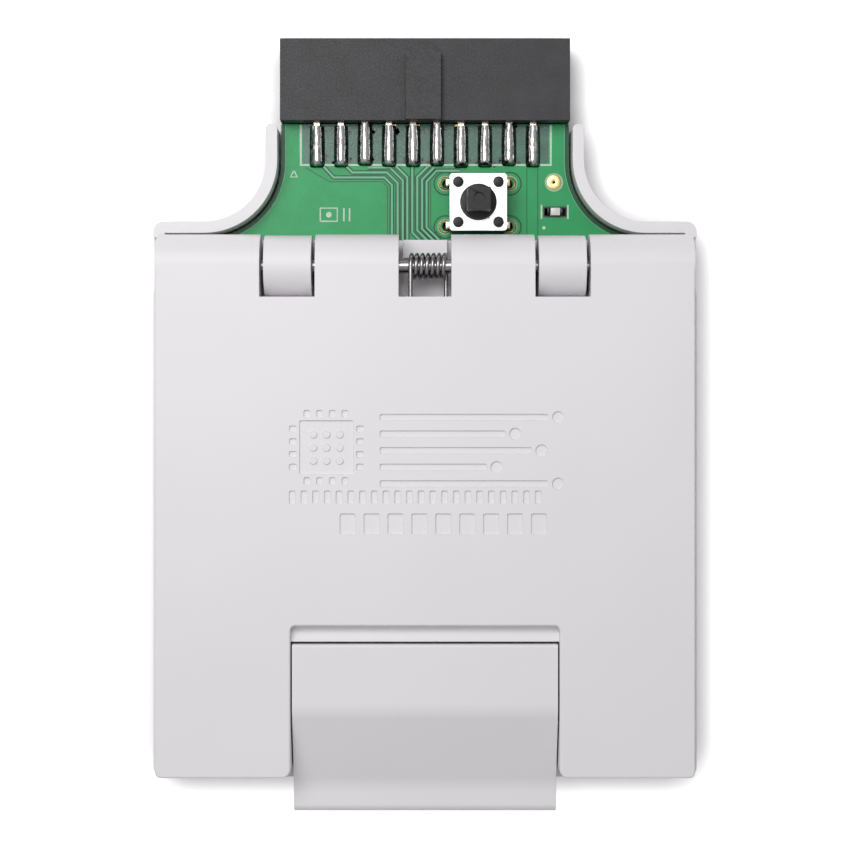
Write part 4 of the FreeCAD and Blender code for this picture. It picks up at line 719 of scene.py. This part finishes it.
boardLook = {"top": 4.6, "bottom": 3.0, "neck": 15.25, "rear": 31.9, "sweepX": 23.2, "sweepY": 27.85,
             "sweepRadius": 7.95, "shoulder": 19.9, "side": 27.05, "rearInset": 0.05, "edge": 0.03,
             "sideFaces": 0.5}
traceSizes = {"width": 0.22, "gap": 0.15, "height": 0.035, "gapHeight": 0.014, "copperEdge": 0.42,
              "edgeWidth": 0.07, "edgeShift": 0.05, "marginShift": 0.02, "pourGap": 1.4, "frameWidth": 0.26,
              "printWidth": 0.16, "printHeight": 0.02}
bus = [
    # millimetres, from the header's leads to under the lid
    [(-11.02, 27.7), (-9.69, 26.25), (-4.31, 26.25), (-3.51, 25.45), (-3.51, 19.5)],
    [(-8.37, 27.43), (-7.71, 26.78), (-4.05, 26.78), (-2.9, 25.66), (-2.9, 19.5)],
    [(-6.07, 27.31), (-3.73, 27.31), (-2.36, 25.94), (-2.36, 19.5)],
    [(-3.12, 27.49), (-1.88, 26.25), (-1.88, 19.5)],
    [(-1.35, 27.49), (-1.35, 20.41), (-0.44, 19.5)],
    [(0.38, 27.49), (-0.82, 26.29), (-0.82, 20.64), (0.32, 19.5)],
    [(0.95, 27.31), (-0.31, 26.02), (-0.31, 20.81), (1.0, 19.5)],
    [(3.69, 26.96), (1.22, 26.96), (0.17, 25.8), (0.17, 20.94), (1.61, 19.5)],
]
pourEdges = [
    [(-12.7, 27.3), (-10.1, 25.8), (-4.49, 25.8), (-3.97, 25.2), (-3.97, 19.5)],
    [(0.6, 25.8), (0.6, 21.1), (2.2, 19.5)],
    [(10.8, 27.5), (10.8, 19.5)],
    [(11.96, 27.5), (11.96, 19.5)],
]


def stripPiece(name, paths, width, height, material, slot, side=1):
    look = boardLook
    level = look["top"] + height / 2 if side > 0 else look["bottom"] - height / 2
    piece = grown(name, strips, {"Width": width * mm, "Height": height * mm, "Material": material},
                  pathMesh(paths, level))
    settle(piece, "base", slot)


def boardEdge(inset):
    # the board's visible outline moved in, from the left neck round to the shoulder and mirrored
    look = boardLook
    neck, radius = look["neck"] - inset, look["sweepRadius"] + inset
    right = [(neck, look["rear"] - look["rearInset"]), (neck, look["sweepY"])]
    right += arcPoints(look["sweepX"], look["sweepY"], radius, 180, 270)[1:]
    right += [(look["side"] - inset, look["shoulder"] - inset)]
    return [right, [(-x, y) for x, y in right]]


def makeBoard(look, sizes):
    settle(easedCopy("circuit_board", "circuitBoard", [mask, laminate], look["edge"] * mm, 1,
                     sides=look["sideFaces"]), "base", "board", "circuit_board")
    wide = sizes["width"] + 2 * sizes["gap"]
    for side, part in ((1, ""), (-1, "Lower")):
        stripPiece("copperMargin" + part, boardEdge(sizes["copperEdge"] / 2 + sizes["marginShift"]),
                   sizes["copperEdge"], sizes["gapHeight"], maskGap, "board", side)
        stripPiece("copperEdgeLine" + part, boardEdge(sizes["copperEdge"] + sizes["edgeShift"]),
                   sizes["edgeWidth"], sizes["height"], maskTrace, "board", side)
    stripPiece("traceGaps", bus, wide, sizes["gapHeight"], maskGap, "board")
    stripPiece("traces", bus, sizes["width"], sizes["height"], maskTrace, "board")
    stripPiece("pourEdgeLines", pourEdges, sizes["edgeWidth"], sizes["gapHeight"] * sizes["pourGap"],
               maskGap, "board")
    lower = [[(-x, y) for x, y in path] for path in bus]
    stripPiece("lowerTraceGaps", lower, wide, sizes["gapHeight"], maskGap, "board", -1)
    stripPiece("lowerTraces", lower, sizes["width"], sizes["height"], maskTrace, "board", -1)
    print("adapter: board and traces")


# white print: the header's frame, a first-pin mark, a polarity bar and plain marks
printedFrame = [[(-13.17, 31.8), (-13.17, 27.57), (13.34, 27.57), (13.34, 31.8)]]
printedPaths = [
    [(-13.9, 27.0), (-13.55, 26.3), (-14.25, 26.3), (-13.9, 27.0)],
    [(-11.1, 21.6), (-9.3, 21.6), (-9.3, 23.0), (-11.1, 23.0), (-11.1, 21.6)],
    [(-8.6, 21.6), (-8.6, 23.0)], [(-8.0, 21.6), (-8.0, 23.0)],
    [(12.35, 23.35), (12.35, 21.85)], [(15.15, 23.35), (15.15, 21.85)],
]
printedDots = [(-10.2, 22.3, 0.3), (12.6, 20.9, 0.18)]


def makePrint(sizes):
    stripPiece("whiteFrame", printedFrame, sizes["frameWidth"], sizes["printHeight"], ink, "board")
    stripPiece("whitePrint", printedPaths, sizes["printWidth"], sizes["printHeight"], ink, "board")
    dots = [disc(x * mm, y * mm, radius * mm) for x, y, radius in printedDots]
    low = boardLook["top"] * mm
    piece = linked("whiteDots", slabMesh("whiteDots", dots, low, low + sizes["printHeight"] * mm))
    piece.data.materials.append(ink)
    settle(piece, "base", "board")


makeBoard(boardLook, traceSizes)
makePrint(traceSizes)


# rings: plated holes of the switch, the test pad and its clearing in the mask

ringLook = {"leg": (0.48, 0.66), "height": 0.05, "legClearing": (0.72, 0.82), "legGap": (1.12, 1.26),
            "clearing": (0.78, 0.98), "clearingHeight": 0.02, "pad": (0.15, 0.74), "padHeight": 0.05,
            "padPlace": (13.68, 25.73), "switch": (5.57, 23.3), "legStep": (3.42, 2.3)}
ringShape = {"inset": 0.15, "innerDrop": 0.3, "outerDrop": 0.4, "sides": 40, "sharp": 50}
holeLook = dict(goldLook, colour=(0.26, 0.22, 0.10), shade=(0.09, 0.07, 0.035), roughness=(0.22, 0.42))
clearingLook = dict(laminateLook, colour=(0.45, 0.55, 0.36), shade=(0.36, 0.47, 0.28))
platedHole = makePlain("platedHole", holeLook)
clearing = makePlain("maskClearing", clearingLook)


def ringMesh(name, places, inner, outer, low, high, shape=ringShape):
    # rings with a rounded upper face
    edit = bmesh.new()
    rise, sides = high - low, shape["sides"]
    inset = (outer - inner) * shape["inset"]
    profile = [(inner, low), (inner, high - rise * shape["innerDrop"]), (inner + inset, high),
               (outer - inset, high), (outer, high - rise * shape["outerDrop"]), (outer, low)]
    for x, y in places:
        loops = []
        for radius, z in profile:
            loops.append([edit.verts.new((vx * mm, vy * mm, z * mm)) for vx, vy in disc(x, y, radius, sides)])
        for index in range(len(loops)):
            first, second = loops[index], loops[(index + 1) % len(loops)]
            for step in range(sides):
                after = (step + 1) % sides
                edit.faces.new((first[step], first[after], second[after], second[step]))
    bmesh.ops.recalc_face_normals(edit, faces=edit.faces)
    return finishedMesh(edit, name, shape["sharp"])


def makeRings(look):
    x, y = look["switch"]
    stepX, stepY = look["legStep"]
    legs = [(x + stepX * across, y + stepY * along) for across in (-1, 1) for along in (-1, 1)]
    top, bottom = boardLook["top"], boardLook["bottom"]
    for name, low, high in (("platedHoles", top, top + look["height"]),
                            ("lowerPlatedHoles", bottom - look["height"], bottom)):
        piece = linked(name, ringMesh(name, legs, *look["leg"], low, high))
        piece.data.materials.append(platedHole)
        settle(piece, "base", "gold")
    for name, places, radii, material in (("padClearing", [look["padPlace"]], look["clearing"], clearing),
                                          ("legClearings", legs, look["legClearing"], clearing),
                                          ("legGaps", legs, look["legGap"], maskGap)):
        piece = linked(name, ringMesh(name, places, *radii, top, top + look["clearingHeight"]))
        piece.data.materials.append(material)
        settle(piece, "base", "board")
    piece = linked("testPad", ringMesh("testPad", [look["padPlace"]], *look["pad"], top,
                                       top + look["padHeight"]))
    piece.data.materials.append(gold)
    settle(piece, "base", "gold", "test_pad")


makeRings(ringLook)
print("adapter: rings and print")


# solder over the header's tails

jointLook = {"count": 10, "first": -11.43, "pitch": 2.54, "toe": 27.55, "rear": 31.95, "width": 0.82,
             "cover": 1.02, "rows": 26, "across": 22, "peak": 1.5, "toeShare": 0.16, "sag": 0.10,
             "toeWidth": 0.72, "toeRound": 0.1, "taperFrom": 0.6, "taper": 0.06, "rough": 0.088,
             "waves": 1.1, "freeHeight": 0.3, "least": (0.93, 0.985, 0.94), "most": (1.03, 1.004, 1.04),
             "sharp": 60}


def jointMesh(look):
    # one fillet: round over the tail, its flanks drawn in, its toe running down to the board
    edit = bmesh.new()
    loops = []
    length = look["rear"] - look["toe"]
    for row in range(look["rows"] + 1):
        share = row / look["rows"]
        toe = min(1.0, share / look["toeShare"])
        rise = look["cover"] * math.sqrt(1 - (1 - toe) ** 2) * (1 - look["sag"] * math.sin(math.pi * share))
        rounding = math.sqrt(1 - (1 - min(1.0, share / look["toeRound"])) ** 2)
        half = look["width"] * (look["toeWidth"] + (1 - look["toeWidth"]) * rounding)
        half *= 1 - look["taper"] * max(0.0, share - look["taperFrom"]) / (1 - look["taperFrom"])
        loop = []
        for column in range(look["across"] + 1):
            angle = math.pi * column / look["across"]
            x = -half * math.cos(angle)
            bulge = math.sin(angle) ** look["peak"]
            loop.append(edit.verts.new((x * mm, (look["toe"] + share * length) * mm,
                                        max(rise * bulge, 0.0) * mm)))
        loops.append(loop)
    for first, second in zip(loops, loops[1:]):
        for column in range(look["across"]):
            edit.faces.new((first[column], first[column + 1], second[column + 1], second[column]))
        edit.faces.new((first[-1], first[0], second[0], second[-1]))
    edit.faces.new(loops[0][::-1])
    edit.faces.new(loops[-1])
    bmesh.ops.recalc_face_normals(edit, faces=edit.faces)
    return finishedMesh(edit, "joint")


def jointTree(look):
    # a row of joints at the header's pitch, each a little different
    tree, given, output = startTree("jointRow", {"Joint": "Object", "Count": "Int", "Step": "Vector",
                                                 "Start": "Vector", "Level": "Float", "Rough": "Float",
                                                 "Seed": "Int", "Material": "Material"})
    shape = addNode(tree, "GeometryNodeObjectInfo", {"Object": given.outputs["Joint"]})
    row = addNode(tree, "GeometryNodeMeshLine", {"Count": given.outputs["Count"],
                                                 "Start Location": given.outputs["Start"],
                                                 "Offset": given.outputs["Step"]}, mode="OFFSET")
    scale = addNode(tree, "FunctionNodeRandomValue", {"Seed": given.outputs["Seed"], 0: look["least"],
                                                      1: look["most"]}, data_type="FLOAT_VECTOR")
    placed = addNode(tree, "GeometryNodeInstanceOnPoints", {
        "Points": row.outputs[0], "Instance": shape.outputs["Geometry"], "Scale": scale.outputs[0]})
    real = addNode(tree, "GeometryNodeRealizeInstances", {"Geometry": placed.outputs[0]})
    place = addNode(tree, "GeometryNodeInputPosition")
    wave = addNode(tree, "ShaderNodeTexNoise", {"Vector": place.outputs[0], "Scale": look["waves"] / mm,
                                                "Detail": 1.0})
    centred = addNode(tree, "ShaderNodeMath", {0: wave.outputs["Fac"], 1: 0.5}, operation="SUBTRACT")
    height = addNode(tree, "ShaderNodeSeparateXYZ", {"Vector": place.outputs[0]})
    above = addNode(tree, "ShaderNodeMath", {0: height.outputs["Z"], 1: given.outputs["Level"]},
                    operation="SUBTRACT")
    free = addNode(tree, "ShaderNodeMapRange", {"Value": above.outputs[0],
                                                "From Max": look["freeHeight"] * mm,
                                                "To Max": given.outputs["Rough"]})
    amount = addNode(tree, "ShaderNodeMath", {0: centred.outputs[0], 1: free.outputs[0]},
                     operation="MULTIPLY")
    normal = addNode(tree, "GeometryNodeInputNormal")
    shift = addNode(tree, "ShaderNodeVectorMath", {0: normal.outputs[0], "Scale": amount.outputs[0]},
                    operation="SCALE")
    moved = addNode(tree, "GeometryNodeSetPosition", {"Geometry": real.outputs[0],
                                                      "Offset": shift.outputs[0]})
    return endTree(tree, moved.outputs[0], given, output)


def makeJoints(look):
    shape = linked("jointShape", jointMesh(look))
    row = jointTree(look)
    for name, node, level, seed in (("upperJoints", "solder_joints_top", boardLook["top"], 3),
                                    ("lowerJoints", "solder_joints_bottom", 0.0, 8)):
        values = {"Joint": shape, "Count": look["count"], "Step": (look["pitch"] * mm, 0, 0),
                  "Start": (look["first"] * mm, 0, level * mm), "Level": level * mm,
                  "Rough": look["rough"] * mm, "Seed": seed, "Material": solder}
        piece = grown(name, row, values, sharp=look["sharp"])
        if level == 0.0:
            for vertex in piece.data.vertices:
                vertex.co.z = boardLook["bottom"] * mm - vertex.co.z
            piece.data.flip_normals()
        settle(piece, "base", "solder", node)
    bpy.data.objects.remove(shape)


makeJoints(jointLook)
print("adapter: solder")


# gilt left bare, and flux and painted shade round the joints

platingLook = {"patches": [(2, 0.34), (3, 0.42), (4, 0.4), (6, -0.3)], "width": 0.62, "front": 30.9,
               "rear": 31.88, "height": 0.03, "corner": 0.12}


def makePlating(look):
    # corners of gilt pads that the solder left bare
    outlines = []
    for column, shift in look["patches"]:
        x = jointLook["first"] + jointLook["pitch"] * column + shift
        edges = (x - look["width"] / 2, look["front"], x + look["width"] / 2, look["rear"])
        outlines.append(roundedBox(*[edge * mm for edge in edges], look["corner"] * mm))
    low = boardLook["top"] * mm
    piece = linked("bareGilt", slabMesh("bareGilt", outlines, low, low + look["height"] * mm))
    piece.data.materials.append(gold)
    settle(piece, "base", "gold")


makePlating(platingLook)

fluxLayers = {"seed": 11, "film": (-12.95, 27.75, 13.1, 31.85), "filmCorner": 0.2, "filmHeight": 0.006,
              "height": 0.014, "count": 34, "places": 9, "aside": (0.25, 0.55), "wave": (0.02, 0.12),
              "waves": 4, "rows": (27.9, 31.2), "drift": (-0.35, 0.5), "size": (0.10, 0.26),
              "stretch": (0.8, 2.4), "light": (13.79, 22.59), "lightHalf": (1.25, 0.58),
              "lightCorner": 0.15}


def blob(x, y, size, stretch, waves, sides=18, turn=9):
    # a flat drop with a wavy rim
    outline = []
    for step in range(sides):
        angle = math.tau * step / sides
        reach = size * (1 + sum(wave * math.sin((order + 2) * angle + turn * wave)
                                for order, wave in enumerate(waves)))
        outline.append(((x + reach * math.cos(angle)) * mm, (y + reach * stretch * math.sin(angle)) * mm))
    return outline


def makeFlux(look):
    random.seed(look["seed"])
    low = boardLook["top"] * mm
    film = roundedBox(*[edge * mm for edge in look["film"]], look["filmCorner"] * mm)
    spots = []
    # spots beside the joints: flux, and painted shade next to the solder
    for index in range(look["count"]):
        x = jointLook["first"] + jointLook["pitch"] * (index % look["places"] + 0.5)
        x += random.choice((-1, 1)) * random.uniform(*look["aside"])
        waves = [random.uniform(*look["wave"]) for _ in range(look["waves"])]
        spots.append(blob(x, random.choice(look["rows"]) + random.uniform(*look["drift"]),
                          random.uniform(*look["size"]), random.uniform(*look["stretch"]), waves))
    x, y = look["light"]
    halfX, halfY = look["lightHalf"]
    surround = [roundedBox((x - halfX) * mm, (y - halfY) * mm, (x + halfX) * mm, (y + halfY) * mm,
                           look["lightCorner"] * mm)]
    for name, outlines, height, material in (("fluxFilm", [film], look["filmHeight"], fluxGreen),
                                             ("fluxSpots", spots, look["height"], darkFlux),
                                             ("lightSurround", surround, look["height"], darkFlux)):
        piece = linked(name, slabMesh(name, outlines, low, low + height * mm))
        piece.data.materials.append(material)
        settle(piece, "base", "board")


makeFlux(fluxLayers)
print("adapter: gilt and flux")


# springs

hingeLook = {"turns": 6.5, "radius": 1.2, "start": -1.5, "pitch": 0.57, "wire": 0.225, "y": 16.5, "z": 9.0,
             "reach": 10.5, "steps": 44, "sides": 14}
smallSprings = [
    # name, node, body, joint, points, foot, top, turns, share kept
    ("latchSprings", "latch_springs", "lid", "latch_pivot",
     [(-8.5, -26.9), (8.5, -26.9)], 8.0, 10.3, 4.5, 0.5),
    ("pressureSprings", "pressure_springs", "pressure_plate", "pressure_float",
     [(x, y) for x in (-7.5, 7.5) for y in (-14.8, 6.8)], 9.3, 11.1, 3.5, 0.75),
    ("guideSprings", "guide_springs", "base", "guide_float",
     [(x, y) for x in (-10.2, 10.2) for y in (-11.0, 3.0)], 5.3, 6.9, 3.5, 0.81),
]
smallLook = {"radius": 0.75, "wire": 0.14, "steps": 28, "sides": 8, "seed": 5}


def makeHingeSpring(look):
    length = look["turns"] * look["pitch"]
    rows = int(look["turns"] * look["steps"])
    points = []
    for step in range(rows + 1):
        angle = math.radians(90) - math.tau * look["turns"] * step / rows
        points.append((look["start"] + length * step / rows, look["y"] + look["radius"] * math.cos(angle),
                       look["z"] + look["radius"] * math.sin(angle)))
    lowerLeg = [(points[-1][0], look["reach"], look["z"] - look["radius"])]
    upperLeg = [(points[0][0], look["reach"], look["z"] + look["radius"]), points[0]]
    for name, path, body in (("hingeSpringCoil", points + lowerLeg, "base"),
                             ("hingeSpringLeg", upperLeg, "lid")):
        mesh = bpy.data.meshes.new(name)
        mesh.from_pydata([(x * mm, y * mm, z * mm) for x, y, z in path],
                         [(index, index + 1) for index in range(len(path) - 1)], [])
        piece = grown(name, wires, {"Wire": look["wire"] * mm, "Sides": look["sides"],
                                    "Material": steel}, mesh)
        settle(piece, body, "steel", *(["hinge_spring"] if body == "base" else []))


makeHingeSpring(hingeLook)
for name, node, body, joint, places, foot, top, turns, keep in smallSprings:
    look = smallLook
    points = pointMesh([(x, y, foot + look["wire"]) for x, y in places])
    piece = grown(name, coils, {
        "Turns": turns, "Radius": look["radius"] * mm, "Height": (top - foot - 2 * look["wire"]) * mm,
        "Wire": look["wire"] * mm, "Steps": look["steps"], "Sides": look["sides"],
        "Seed": look["seed"], "Material": steel}, points)
    settle(piece, body, "steel", node)
    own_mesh(piece)
print("adapter: springs")
